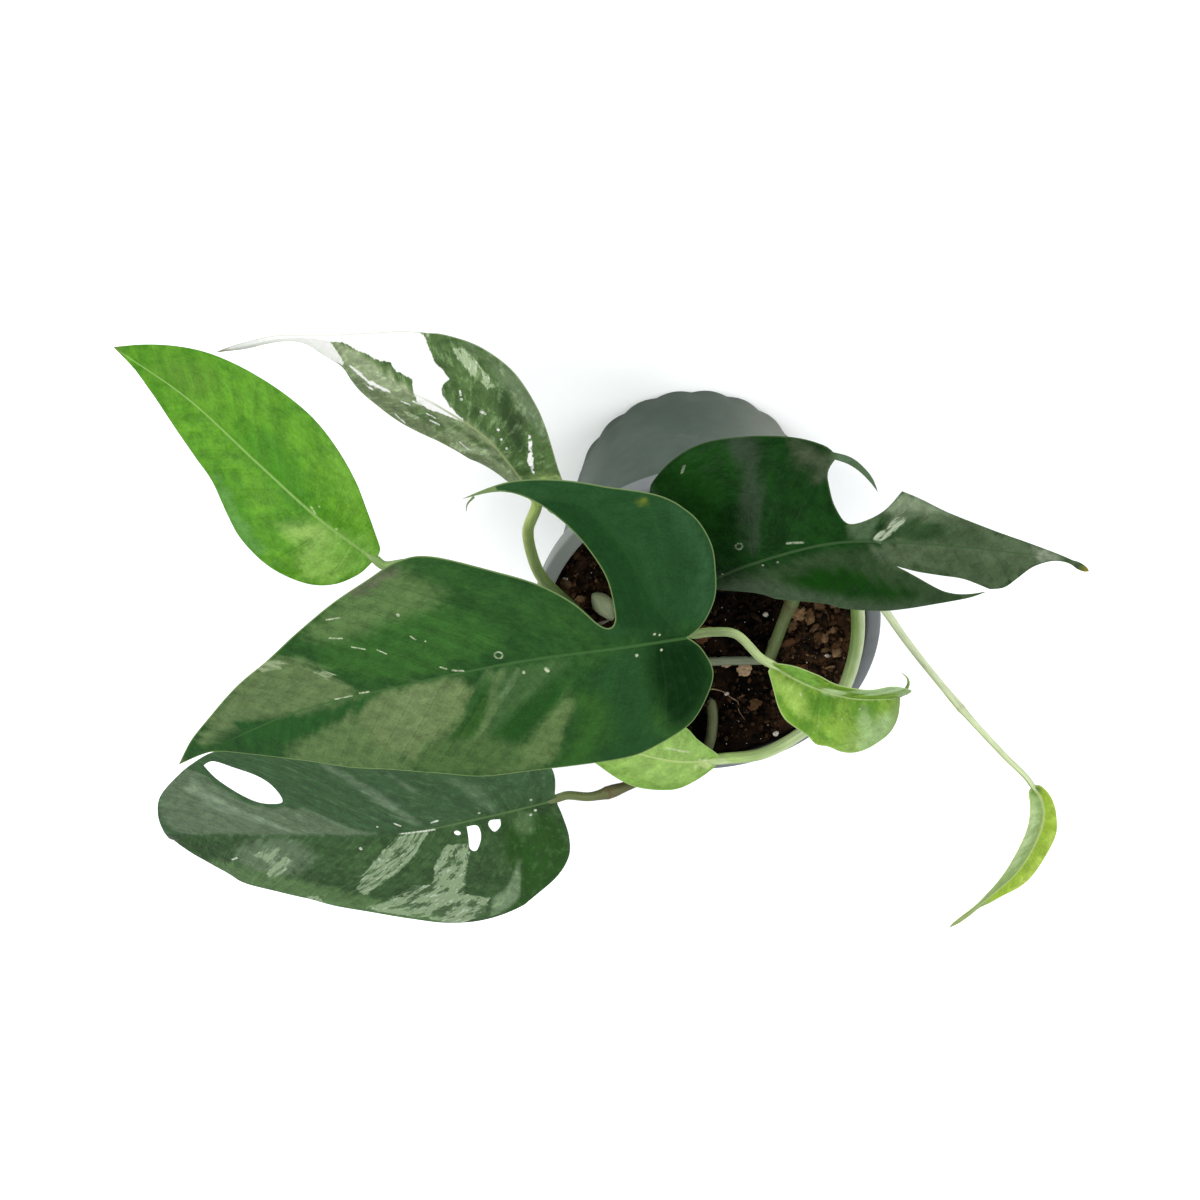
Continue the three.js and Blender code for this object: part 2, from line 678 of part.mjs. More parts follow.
/** A round limb along a smooth curve, tapered, with its nodes swollen. grow: extra radius all along. */
function limbSolid(limb, grow = 0) {
  const points = limb.points.map((p) => new THREE.Vector3(...p));
  if (limb.leaf) points.push(...jointPoints(LEAVES.find(({ name }) => name === limb.leaf)));
  const curve = new THREE.CatmullRomCurve3(points);
  const steps = Math.ceil(curve.getLength() / STEM_STEP);
  const frames = curve.computeFrenetFrames(steps);
  const positions = [];
  for (let i = 0; i <= steps; i += 1) {
    const share = i / steps;
    const centre = curve.getPointAt(share);
    let radius = THREE.MathUtils.lerp(...limb.radius, share) + grow;
    for (const [where, extra, spread = SWELL_SPREAD] of limb.swell || []) {
      radius += extra * Math.exp(-(((share - where) / spread) ** 2));
    }
    for (let k = 0; k < STEM_SIDES; k += 1) {
      const angle = (2 * Math.PI * k) / STEM_SIDES;
      const spoke = frames.normals[i].clone().multiplyScalar(radius * Math.cos(angle));
      spoke.addScaledVector(frames.binormals[i], radius * Math.sin(angle));
      positions.push(...spoke.add(centre).toArray());
    }
  }
  const indices = [];
  const at = (i, k) => i * STEM_SIDES + (k % STEM_SIDES);
  for (let i = 0; i < steps; i += 1) {
    for (let k = 0; k < STEM_SIDES; k += 1) {
      indices.push(at(i, k), at(i, k + 1), at(i + 1, k), at(i, k + 1), at(i + 1, k + 1), at(i + 1, k));
    }
  }
  for (let k = 1; k < STEM_SIDES - 1; k += 1) {
    indices.push(at(0, 0), at(0, k + 1), at(0, k), at(steps, 0), at(steps, k), at(steps, k + 1));
  }
  return solidOf(surface(positions, indices));
}

function stemSolid(stem, grow = 0) {
  return stem.limbs.map((limb) => limbSolid(limb, grow)).reduce((whole, limb) => whole.add(limb));
}

const plant = new THREE.Group();

function addPiece(name, solid, look) {
  const mesh = new THREE.Mesh(geometryOf(solid), MATERIALS[look]);
  mesh.name = name;
  plant.add(mesh);
}

addPiece("pot", potSolid(), "pot");
addPiece("soil", soilSolid(STEMS.map((stem) => stemSolid(stem, GAP))), "soil");
for (const leaf of LEAVES) addPiece(leaf.name, leafSolid(leaf), leaf.look);
for (const stem of STEMS) addPiece(stem.name, stemSolid(stem), "stem");

export default plant;
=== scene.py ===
"""The looks of a potted albo dragon tail plant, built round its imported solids.

Lengths in the tables and in the mesh code are millimetres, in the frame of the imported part, and become
metres where a mesh is made. Every leaf is laid out flat as [along, across] from the base of its midrib,
with across positive on the left, and is then folded and curled along the midrib as its solid is.
"""

import math
from types import SimpleNamespace

import bmesh
import bpy
import numpy as np
from mathutils import Matrix, Vector, noise
from mathutils.geometry import delaunay_2d_cdt


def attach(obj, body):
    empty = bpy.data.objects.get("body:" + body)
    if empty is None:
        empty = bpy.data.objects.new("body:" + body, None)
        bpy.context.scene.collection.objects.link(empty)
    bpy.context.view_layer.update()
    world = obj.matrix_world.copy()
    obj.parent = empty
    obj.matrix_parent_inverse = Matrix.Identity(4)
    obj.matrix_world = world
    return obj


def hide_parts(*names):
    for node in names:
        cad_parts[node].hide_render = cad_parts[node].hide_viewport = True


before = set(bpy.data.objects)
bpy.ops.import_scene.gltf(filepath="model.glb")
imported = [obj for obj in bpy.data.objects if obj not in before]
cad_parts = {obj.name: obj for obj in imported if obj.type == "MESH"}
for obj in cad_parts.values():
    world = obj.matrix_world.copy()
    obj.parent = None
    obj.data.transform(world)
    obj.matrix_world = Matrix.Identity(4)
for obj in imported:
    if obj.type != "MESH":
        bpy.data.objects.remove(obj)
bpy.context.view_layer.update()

MM = 0.001

# Camera: as the photo was taken, from high up on the +Y side, with the pot upside down in the picture.
CAMERA_ELEVATION = 57.0
CAMERA_DISTANCE = 0.65
CAMERA_TARGET = Vector((-0.036, 0.014, 0.097))
CAMERA_ROLL = -1.4
CAMERA_LENS = 57.6
CAMERA_SENSOR = 36.0
CAMERA_NEAR = 0.01

# Light and floor. A face that looks up gets about LIGHT_LEVEL times the light that shows its paint as is.
# LAMPS: each lamp's place in metres and its power.
LIGHT_LEVEL = 1.9
WORLD_COLOUR = (0.96, 0.98, 1.0, 1.0)
WORLD_STRENGTH = 1.15
LAMPS = {"key": ((-0.9, 0.6, 1.6), 30.0), "fill": ((1.5, 0.8, 0.9), 18.0)}
LAMP_SIZE = 1.0
FLOOR_RADIUS = 4000.0
FLOOR_SIDES = 96

# Curves
CURVE_STEPS = 24
LEAST_GAP = 1e-4

# Blades: their layout in triangles. The clear distances keep thin triangles away.
MARGIN_STEP = 1.0
GRID_STEP = 1.3
RIB_ROWS = (0.3, 0.65, 1.2, 2.1)
LINE_CLEAR = 0.35
ROW_CLEAR = 0.3
GRID_CLEAR = 0.55 * GRID_STEP
FLECK_CLEAR = 0.2
RING_CLEAR = 0.7
RIB_THINNING = 10
PINHOLE_SIDES = 12
RING_SIDES = 14
FLECK_STEP = 0.6
CAP_POINTS = 5

# Blades: depths of the two faces below the leaf's own surface, and their relief.
UPPER_DEPTH = 0.12
UNDER_DEPTH = 0.62
RIDGE = 1.2
RIDGE_HALF_WIDTH = 2.2
GROOVE = 0.24
SIDE_GROOVE = 0.1
GROOVE_WIDTH = 0.6
PILLOW = 0.17
VEIN_STEP = 9.0
SMALL_VEINS = 5
VEIN_LIMITS = (-80.0, 260.0)
VEIN_HALVINGS = 24
ROUND_EDGE = 0.14
ROUND_WIDTH = 0.9
FOLD_EASE = 1.6

# Blades: the soft edges of their marks.
FLECK_EDGE = 0.25
RING_LINE = 0.4
SPOT_EDGE = 0.8
MARK_REACH = 6.0
TONE_REACH = 4.0
STREAK_LIMIT = 2.5
HALVES_APART = 40.0

# Pot, as the solid has it
POT_HEIGHT = 97.0
RIM_RADIUS = 60.0
MOUTH_RADIUS = 55.0
BASE_RADIUS = 43.6
POT_WALL = 1.3
POT_FLOOR = 1.8
COLLAR_HEIGHT = 9.0
COLLAR_THICKNESS = 1.4
COLLAR_DRAFT = 0.5
SCALLOPS = 20
SCALLOP_DEPTH = 1.0
SCALLOP_HEIGHT = 14.0
DRAIN_COUNT = 8
DRAIN_RADIUS = 3.5
DRAIN_CIRCLE = 28.0

# The pot's mesh, and the layout of its floor
POT_SIDES = 240
WALL_ROWS = 12
DRAIN_SIDES = 28
DRAIN_CLEAR = 1.2
FLOOR_CLEAR = 3.0
FLOOR_REACH = 40
FLOOR_STEP = 5.0
ON_RIM = 0.05

# Soil, as the solid has it, with a bank along one side where the soil lies high
SOIL_LEVEL = 90.0
SOIL_RELIEF = 1.1
BANK_HEIGHT = 5.6
BANK_WIDTH = 14.0
BANK_TOWARDS = -50.0
BANK_REACH = 0.4

# The bed and what lies on it: distances from the wall, rings and rows, then grains, chips and roots.
SOIL_GAP = 0.25
SIDE_GAP = 0.5
BED_DROP = 0.6
BED_RINGS = 58
BED_SIDES = 220
BED_ROWS = (70.0, 40.0, POT_FLOOR + 0.3)
SOIL_SEED = 7
GRAIN_CLEAR = 1.5
GRAIN_TILT = 1.6
CHIP_TILT = 0.9
CHIP_LIFT = 1.1
CHIP_FLAT = 0.32
CRUMB_FLAT = 0.8
LONG_CHIP = 2.5
CHIP_DETAIL = 3
ROOT_LIFT = 1.2

# How peat dries: WET_SHADE where x is near WET_AT, and DRY_GAIN more from one distance to another.
WET_AT = 6.0
WET_SHADE = 0.7
DRY_FROM = (10.0, 34.0)
DRY_GAIN = 2.2

# Stems. NODE_RING: the height of the thin ring beyond a node, how far beyond it lies, and its width.
# SCARS: how brown, how far beyond the node and how wide, in millimetres.
STEM_SIDES = 24
STEM_STEP = 0.7
NODE_WIDTH = 0.05
NODE_RING = (0.16, 0.02, 0.008)
TOP_GROOVE = 0.1
TOP_GROOVE_WIDTH = 0.4
TOP_WING = 0.05
TOP_WING_AT = 0.62
TOP_WING_WIDTH = 0.2
ROUNDED_FROM = 0.78
NARROWED_FROM = 0.97
NARROWED_OVER = 0.03
NARROWED_BY = 0.45
THINNING = 0.8
SCARS = ((0.85, 1.5, 0.6), (0.35, 0.0, 4.0))
WISP_SIDES = 10
WISP_STEP = 0.5
ROOT_SIDES = 8
ROOT_STEP = 1.0
# How a limb runs on into its leaf's midrib, as (along, below): straight, or up from below the blade.
JOINTS = {
    "straight": ((-4, 1.3), (-0.3, 1.05), (3.5, 1.15)),
    "below": ((1.5, 8), (2, 2.4), (3.4, 1.3)),
}


def srgb(red, green, blue):
    """The paint that looks in this light like a picture's colour, 0 to 255."""
    linear = []
    for value in (red, green, blue):
        share = value / 255.0
        linear.append(share / 12.92 if share <= 0.04045 else ((share + 0.055) / 1.055) ** 2.4)
    return (*(value / LIGHT_LEVEL for value in linear), 1.0)


# Each leaf's colours. gloss: its specular level. veins: how strongly each side vein has painted light on
# one flank and painted shade on the other. marble: how strongly pale streaks run through it. flecks: how
# strongly its crisp dots show. rib_end: the share of the length where the light midrib ends.
LOOKS = {
    "leaf_left": {
        "slot": "leaf_bright", "gloss": 0.08, "veins": 0.08, "marble": 0.1, "flecks": 0.7, "rib_end": 1.0,
        "deep": srgb(71, 135, 18), "fresh": srgb(97, 155, 36), "pale": srgb(150, 190, 100),
        "white": srgb(214, 226, 176), "rib": srgb(150, 190, 104),
        "edge": srgb(92, 146, 50), "tip": srgb(96, 136, 48),
    },
    "leaf_white": {
        "slot": "leaf_white", "gloss": 0.08, "veins": 0.1, "marble": 0.5, "flecks": 0.85, "rib_end": 0.4,
        "deep": srgb(56, 84, 38), "fresh": srgb(84, 112, 62), "pale": srgb(170, 190, 148),
        "white": srgb(254, 254, 250), "rib": srgb(150, 164, 110),
        "edge": srgb(168, 182, 142), "tip": srgb(172, 140, 92),
    },
    "leaf_top": {
        "slot": "leaf_dark", "gloss": 0.03, "veins": 0.05, "marble": 0.08, "flecks": 0.9, "rib_end": 0.9,
        "deep": srgb(36, 74, 33), "fresh": srgb(47, 86, 37), "pale": srgb(146, 162, 122),
        "white": srgb(206, 216, 180), "rib": srgb(66, 104, 54),
        "edge": srgb(146, 168, 108), "tip": srgb(104, 118, 76),
    },
    "leaf_low": {
        "slot": "leaf_dark", "gloss": 0.04, "veins": 0.07, "marble": 0.3, "flecks": 1.0, "rib_end": 0.32,
        "deep": srgb(48, 74, 40), "fresh": srgb(64, 94, 54), "pale": srgb(146, 168, 130),
        "white": srgb(222, 230, 210), "rib": srgb(96, 124, 76),
        "edge": srgb(84, 108, 76), "tip": srgb(112, 126, 98),
    },
    "leaf_right": {
        "slot": "leaf_dark", "gloss": 0.03, "veins": 0.06, "marble": 0.06, "flecks": 0.45, "rib_end": 0.9,
        "deep": srgb(12, 47, 10), "fresh": srgb(22, 62, 17), "pale": srgb(176, 190, 160),
        "white": srgb(208, 218, 190), "rib": srgb(62, 88, 52),
        "edge": srgb(80, 100, 66), "tip": srgb(150, 140, 44),
    },
    "leaf_young": {
        "slot": "leaf_young", "gloss": 0.1, "veins": 0.1, "marble": 0.2, "flecks": 0.35, "rib_end": 1.0,
        "deep": srgb(106, 148, 36), "fresh": srgb(134, 174, 62), "pale": srgb(206, 220, 176),
        "white": srgb(232, 238, 214), "rib": srgb(188, 212, 140),
        "edge": srgb(192, 212, 150), "tip": srgb(132, 156, 84),
    },
    "leaf_rim": {
        "slot": "leaf_young", "gloss": 0.1, "veins": 0.1, "marble": 0.15, "flecks": 0.5, "rib_end": 1.0,
        "deep": srgb(114, 158, 60), "fresh": srgb(140, 180, 84), "pale": srgb(214, 226, 168),
        "white": srgb(232, 238, 200), "rib": srgb(194, 216, 138),
        "edge": srgb(176, 206, 128), "tip": srgb(120, 165, 76),
    },
    "leaf_trailing": {
        "slot": "leaf_young", "gloss": 0.1, "veins": 0.1, "marble": 0.15, "flecks": 0.5, "rib_end": 1.0,
        "deep": srgb(142, 174, 72), "fresh": srgb(164, 194, 96), "pale": srgb(206, 222, 168),
        "white": srgb(228, 236, 206), "rib": srgb(196, 212, 144),
        "edge": srgb(190, 212, 110), "tip": srgb(150, 166, 104),
    },
}

# Each leaf: its midrib in space, the side its upper face looks to, fold and curl for the left and the
# right half (degrees at the midrib, and degrees more for each 10 mm out), and its outline and holes.
# tones: listed colours, each as (a picture's colour, the width of its soft edge, its ring), later ones
# over earlier ones. white, pale: patches with a crisp edge. flecks: small crisp dots and dashes, each as
# its one or two ends and its half width. rings, spots: small pale rings and yellow spots as
# [along, across, radius]. pinholes: small real holes. ribs: side ribs of lobes. wisp: a thin dry end, as
# points in space, with the radius that it starts from.
LEAVES = {
    "leaf_left": {
        "midrib": [[-107, 50, 126], [-123, 64, 124], [-142, 79, 114], [-164, 95, 100], [-189, 106, 84]],
        "up": [-0.25, 0.35, 0.9],
        "fold": [8, 8],
        "curl": [-2, -2],
        "outline": [
            [[0, 2.4], [0, -2.4]],
            [[0, -2.4], [1, -4.5], [5, -7.5], [12, -12.5], [21, -18.5], [31, -22.5], [42, -24.5],
             [54, -24], [66, -21.5], [78, -17.5], [90, -12], [101, -6], [110, 0]],
            [[110, 0], [100, 2], [90, 5.5], [78, 9.5], [65, 12.5], [55, 14.5], [45, 19], [36, 22],
             [24, 22.5], [12, 19.5], [5, 14.5], [1, 7.5], [0, 2.4]],
        ],
        "tones": [
            ((110, 166, 50), 8, [[34, -23], [21, -18.5], [10, -10.5], [2.5, -2.5], [7.5, -3], [22.5, -12.5]]),
            ((72, 136, 26), 7, [[57, -1.5], [51, -11.5], [40, -9], [27.5, -3], [28, 1.5], [41.5, 1]]),
            ((120, 174, 68), 6, [[1, 8], [14, 9], [18, 2], [10, -3], [1, -3]]),
            ((92, 142, 38), 9, [[94.5, -0.5], [83, -11.5], [73, -10], [78, -1.5]]),
            ((92, 146, 66), 5, [[55.5, 12], [50, 13.5], [40.5, 17.5], [29.5, 19.5], [32, 22], [41.5, 20.5]]),
            ((140, 184, 84), 9, [[20.5, 11], [14.5, 6], [8.5, 6.5], [5.5, 13], [12, 17]]),
            ((148, 186, 92), 7, [[29.5, 9.5], [24.5, 3.5], [15.5, 1], [15.5, 5], [23, 10]]),
        ],
        "flecks": [[26, -1.5, 23.5, -0.5, 0.2], [15.5, -1, 0.33], [24, -3.5, 0.23]],
    },
    "leaf_white": {
        "midrib": [[-56.8, 77.3, 132.4], [-69, 93, 128], [-83, 100, 120], [-96, 103, 110],
            [-115, 110, 95], [-134, 108, 85], [-149, 103.3, 80.5], [-158, 101.5, 80]],
        "up": [-0.2, 0.75, 0.6],
        "fold": [-58, 5],
        "curl": [-2, -2],
        "outline": [
            [[0, 2.4], [0, -2.4]],
            [[0, -2.4], [-5, -1], [-9.5, -0.8], [-12, -3], [-11.5, -6.5], [-8, -8.8], [-3, -10.3],
             [2, -12], [9, -14.5], [18, -18], [27, -21.5], [37, -22.5], [47, -21.5], [56, -19.5],
             [65, -15], [73, -8.5], [80, -4], [87, -2], [97, -1.3], [110, -1.6], [120, -1.3], [127, 0]],
            [[127, 0], [118, 1.1], [107, 1.2], [98, 1.5], [93, 3.2], [90, 5.4], [86, 7.2], [81, 9],
             [76, 12.8], [70, 15], [60, 15.3], [47, 15], [31, 13.7], [17, 13], [7, 8], [1, 4.5], [0, 2.4]],
        ],
        "tones": [
            ((128, 146, 104), 3, [[0, 0.2], [84, 0.2], [84, 18], [0, 18]]),
            ((98, 118, 84), 4, [[41.5, -21.5], [29, -21.5], [18.5, -18.5], [10, -16], [9, -13],
             [22, -14.5], [31.5, -18]]),
            # painted shade in the crease along the fold
            ((42, 66, 30), 2.5, [[27.5, -15], [24, -14.5], [15.5, -9.5], [10.5, -7], [10.5, -4.5],
             [19.5, -7], [25.5, -11]]),
            ((104, 120, 80), 5, [[76.5, 12.5], [66, 15], [54.5, 16], [36.5, 16], [8, 13.5], [9.5, 6],
             [33, 10.5], [51, 7.5], [64.5, 7]]),
            ((162, 176, 136), 2, [[81.5, 0], [52.5, 0], [55.5, 2], [67, 4.5], [76.5, 5]]),
            ((158, 174, 132), 3, [[79, 1.5], [57, 1.5], [57, 6], [69, 8.5], [79, 6]]),
            ((84, 108, 60), 2, [[54, 6.5], [45, 9.5], [36, 8.5], [38, 5], [47, 4.2]]),
            ((76, 100, 54), 2, [[36, 4], [24, 5.5], [12, 3.5], [10, 1.5], [24, 2.5]]),
            ((160, 176, 136), 1.5, [[78, 2.4], [64, 2.6], [52, 1.8], [44, 0.8], [60, 0.6], [76, 1]]),
            ((148, 168, 126), 1.2, [[29.5, 11.4], [22, 7.4], [15, 1.5], [17, 6.5], [20, 9.2], [26, 11.6]]),
            ((158, 182, 104), 4, [[-12, -7], [-12, -1], [-5, -1], [2, -3], [-3, -10]]),
        ],
        "white": [
            [[62, -17], [58.5, -17], [53, -14], [47.5, -11.5], [42.5, -9.5], [39.5, -8.5], [41.5, -8.5],
             [42, -6.5], [40, -3.5], [35.5, -1.5], [32, -1], [30, -0.5], [29.5, 0], [34.5, 1.5],
             [42.5, 3.5], [48, 2.6], [48.5, 1], [50, -1], [52.5, -4], [58.5, -3], [62.5, -4], [66.5, -2],
             [74, -1], [79.5, -1], [84.5, 0], [79.5, 7], [80.5, 8], [85, 7.5], [88.5, 6.5], [88, 9],
             [98, 8], [140, 8], [140, -8], [88, -8], [72, -24]],
            [[80, 6], [74, 8], [67, 8.6], [60, 6.6], [56, 4.8], [61, 5.6], [66, 6.6], [68, 7.6], [73, 6.4]],
            [[73, 9.6], [67, 10.4], [61, 9.4], [66, 9.3]],
            [[17, -12.2], [12.5, -10.4], [7, -6.6], [2.6, -4.2], [3, -3.6], [8, -5.4], [12.5, -9.4]],
        ],
        "pale": [
            [[46.5, -17.5], [43.5, -19.8], [38.5, -18.4], [33.5, -17.2], [27.5, -14.6], [28.5, -12.2],
             [33.5, -13.2], [38.5, -14], [42, -15.8]],
            [[53.5, 9.8], [49.5, 8.3], [45.5, 8.3], [50, 10.4]],
            [[35, 12.2], [28, 10.6], [20, 7.5], [17, 7], [21, 9.8], [28, 12.8]],
            [[62, -19.5], [58, -18.6], [55, -16.5], [58, -16.5], [61.5, -17.5]],
        ],
        "flecks": [[49.5, 3.5, 46, 3, 0.26], [54, 6, 51, 5.6, 0.2], [44, 5.5, 40, 5.4, 0.16],
            [34, -5.5, 0.33], [36, -7.5, 35, -6.5, 0.2], [20, -4.5, 0.3], [17.5, -3, 0.3],
            [27, -5.5, 25.5, -5.8, 0.23], [14.5, -2.5, 0.23], [29, 9, 24, 9.6, 0.16],
            [56, 13, 53, 14, 0.2], [42.5, 7.5, 38, 7, 0.2]],
    },
    "leaf_top": {
        "midrib": [[-11, 58, 186], [-29, 58, 190], [-59, 54, 190], [-95, 42, 184], [-129, 26, 174],
            [-171, -5, 158]],
        "up": [0, 0.1, 1],
        "fold": [6, 6],
        "curl": [-2.5, -2.5],
        "outline": [
            [[0, 0], [-4.5, -4], [-8, -12], [-8.3, -21], [-7, -30], [-2, -39], [7, -45.5], [18, -50],
             [30, -54], [41, -55.4], [51, -53]],
            [[51, -53], [43, -53], [36.5, -49], [30, -41], [25, -32], [21.5, -22.5], [20.5, -12],
             [21, -8.3], [22.6, -7], [25.5, -9], [31, -16.5], [38.5, -23.5], [47.5, -29.5], [62, -38.5],
             [71, -39.5], [82, -36], [94, -32], [108, -26], [122, -20], [136, -16], [152, -11], [168, -6],
             [181, 0]],
            [[181, 0], [169, 0.3], [162, 2], [150, 8.5], [136, 16], [120, 23], [104, 27], [90, 31],
             [75, 35.5], [56, 36.6], [36, 36.8], [20, 36], [8, 33], [0, 28], [-5, 20], [-7.2, 12], [-4, 4],
             [0, 0]],
        ],
        "tones": [
            ((34, 72, 36), 8, [[-9, -4], [26, -6], [24, -28], [44, -50], [44, -58], [-9, -52]]),
            ((48, 86, 52), 8, [[4.5, -43], [-4, -34.5], [-7, -21.5], [-6, -8.5], [-3, -9], [-2.5, -25.5],
             [2, -36.5]]),
            ((48, 84, 44), 5, [[42, -54], [36.5, -53.5], [30.5, -48.5], [27.5, -45], [33, -47.5], [38, -51]]),
            ((24, 62, 26), 3, [[4, -4], [10.5, -14.5], [15, -27], [18.5, -36.5], [24, -45], [33, -49.5],
             [37, -49], [30, -41], [25, -32], [21.5, -22], [20.5, -10], [12, -5]]),
            ((6, 40, 9), 9, [[11, -2], [-3.5, 1], [-6.5, 18], [0, 27], [9, 24], [13, 10]]),
            ((36, 74, 36), 6, [[14, 0], [14, 12], [12, 24], [10, 34], [30, 38], [28, 20], [26, 4]]),
            ((48, 88, 34), 8, [[35, 11.5], [28, 15.5], [26.5, 29], [46, 37], [37.5, 26]]),
            ((54, 98, 40), 6, [[98.5, -27.5], [90.5, -30.5], [62.5, -21], [52.5, -8.5], [63, -4], [92, -4],
             [103, -9.5], [106, -17]]),
            # painted sheen over the upper half
            ((90, 119, 68), 7, [[86, -36], [72, -37], [66, -32], [62, -26], [70, -23], [82, -22],
             [96, -20], [106, -24], [96, -31]]),
            # painted sheen along the upper edge, browner and greyer
            ((92, 100, 74), 4, [[88.5, -34.5], [82, -37.5], [73, -38.5], [71.5, -36.5], [76.5, -34.5],
             [85, -32]]),
            ((99, 121, 76), 5, [[143, -14], [127, -20], [114, -18], [107, -9.5], [103, -1], [109, 0.5],
             [128.5, 1], [147.5, -2.5], [166, -3.5]]),
            ((106, 126, 80), 4, [[114, 1.5], [96, 0.5], [74.5, 1], [67, 3], [70, 9], [84.5, 22], [92, 26],
             [99, 23], [118, 18], [112, 12], [116, 6]]),
            ((66, 98, 54), 4, [[36, 2], [42, 8], [54, 15], [62, 20], [66, 16], [62, 9], [60, 2]]),
            ((92, 116, 68), 4, [[36, 12], [38, 20], [42, 28], [50, 35], [74, 35], [66, 31], [57, 27],
             [48, 20]]),
            ((34, 76, 27), 4, [[40, 6], [46, 11], [55, 15], [60, 18.5], [66, 24], [69.5, 28], [64, 28.5],
             [56, 24], [46, 18.5], [40, 13]]),
            ((90, 116, 70), 2.5, [[58.5, 1.5], [61, 7], [65, 13.5], [69.5, 18.5], [74, 22.5], [69, 22.5],
             [62.5, 16.5], [58.5, 9.5], [54.5, 2]]),
            ((92, 118, 80), 1.2, [[51, 2], [54.5, 5.5], [57.5, 9.5], [55.5, 8.5], [49.5, 2.5]]),
            ((112, 132, 86), 5, [[94, 3], [78, 3], [83, 11], [94, 18], [98, 16.5], [91, 9]]),
            ((108, 128, 80), 4, [[71, 5], [66, 4], [72, 12.5], [80.5, 18.5], [81, 16]]),
            ((50, 86, 34), 1.5, [[60.5, 3.5], [62.5, 6], [66.5, 11.5], [72, 16.5], [79, 20.5], [84, 24.5],
             [78, 23.5], [71, 20.3], [65.5, 14.8], [61.5, 8.5]]),
            ((92, 117, 70), 7, [[143, 15], [134, 9.5], [117.5, 6], [107, 8], [104, 17], [96, 25.5],
             [101, 29.5], [125.5, 23]]),
            ((76, 104, 57), 5, [[88, 20], [64, 23], [58, 31], [69, 35.5], [94, 30]]),
            ((40, 84, 36), 3, [[147, -5.5], [125, 1.5], [107, 1], [94.5, 0.5], [114, 6.5], [130.5, 8.5],
             [149.5, 4]]),
        ],
        "pale": [
            [[127, -19], [122, -20.5], [115.5, -17.5], [118.5, -16.5], [125.5, -17]],
            [[110.5, -11.5], [107.5, -11.5], [104, -9], [108, -8.5]],
        ],
        "flecks": [[49, 3.5, 0.42], [42.3, 3.4, 41.8, 4.2, 0.42], [15.5, 3, 0.4], [8, 2.5, 0.3],
            [10, -3, 0.3], [8.5, -2.5, 0.24], [77, -23.5, 0.42], [98, -27.5, 94, -27, 0.1],
            [100, -21.5, 96.5, -20.4, 0.1], [95, -17, 91.5, -15.2, 0.08], [88, -14, 86, -12, 0.06],
            [76.5, -16, 75.5, -14.5, 0.1], [73, -13.2, 0.16], [72.5, -3.5, 71, -2.5, 0.16],
            [69.5, -1.5, 66.5, -0.5, 0.2], [110, -0.6, 104, -0.4, 0.14], [101, -0.7, 98, -0.5, 0.2]],
        "rings": [[54.5, -3.5, 1.15]],
        "spots": [[12, -45, 0.7]],
        "wisp": [[-70, 105.4, 184.4], [-71.9, 102.4, 182.8], [-72.6, 98.8, 180.6]],
        "wisp_radius": 0.36,
        "ribs": [
            [[1, -1], [5.5, -6], [10.5, -14.5], [15, -27], [18.5, -36.5], [24, -45], [34, -50.5],
             [46, -53.2]],
        ],
    },
    "leaf_low": {
        "midrib": [[-53, -57, 116], [-77, -62, 118], [-111, -74, 112], [-155, -82, 101], [-186, -90, 90],
            [-198, -97, 85], [-199, -99, 79], [-194, -98, 70]],
        "up": [0, -0.1, 1],
        "fold": [6, 6],
        "curl": [-2, -2],
        "outline": [
            [[0, 2.4], [0, -2.4]],
            [[0, -2.4], [-2, -11], [-1.5, -18], [3, -29], [14, -38], [32, -43], [55, -45], [80, -45.5],
             [102, -45.5], [115, -44], [126, -38], [135, -31], [143, -23.5], [149, -15], [153.5, -7],
             [157, -2.2], [164, -1.3], [178, 0]],
            [[178, 0], [164, 1.3], [157.5, 2.6], [152, 11], [147, 19], [139, 26], [120, 30.5], [98, 36.6],
             [82, 40], [69, 44.4], [58, 49.4], [48, 50.35], [34, 47.4], [20, 43], [8.6, 36.8], [2, 28],
             [-0.5, 18], [-0.5, 8], [0, 2.4]],
        ],
        "holes": [
            [[121.5, -37.5], [117, -39.6], [111, -37], [105, -33.5], [100.5, -28.5], [98.5, -22],
             [99.5, -18], [105, -17.5], [110, -19.7], [115, -24.5], [119.5, -31]],
            [[34, 2.3], [30, 3], [31, 8.5], [35.5, 14], [37.5, 12.5], [35.5, 7]],
            [[21, 2.4], [24.5, 1.8], [26, 4], [25, 7.3], [22, 5.5]],
        ],
        "pinholes": [[38.6, 4.2, 1.2]],
        "tones": [
            ((60, 90, 57), 8, [[0, -3], [150, -3], [150, -48], [0, -48]]),
            ((96, 117, 88), 5, [[126, 5], [112, 2], [99, 4], [97, 12], [112, 21], [127, 20], [131, 12]]),
            ((42, 79, 29), 5, [[20, 5], [10.5, 3.5], [2, 8.5], [2, 23.5], [7, 37], [24.5, 46.5],
             [41, 49.5], [26, 32], [24, 16.5]]),
            ((84, 112, 70), 3, [[17, 3.5], [10, 2], [10.5, 10.5], [15, 11]]),
            # the next six tones: grey streaks along the veins of the upper half, grey-green variegation with
            # painted sheen over it
            ((96, 116, 88), 2, [[140.5, -27.5], [132, -35], [128, -35.5], [124, -33], [115.5, -21.5],
             [109, -16.5], [90, -14.5], [77.5, -4.5], [68, -1], [81.5, -0.5], [123.5, 0.5], [145.5, -1],
             [148.5, -12.5]]),
            ((120, 140, 112), 1.5, [[128, -31], [121, -19], [109.5, -9], [101.5, -2.5], [110.5, -6],
             [125.5, -15], [133, -25.5]]),
            ((98, 120, 92), 3, [[78, -38], [72, -36], [58, -23.5], [49, -5], [52.5, -5.5], [63.5, -21.5],
             [75, -33]]),
            ((90, 112, 84), 3, [[48, -33], [45.5, -30.5], [42.5, -21.5], [45, -23.5]]),
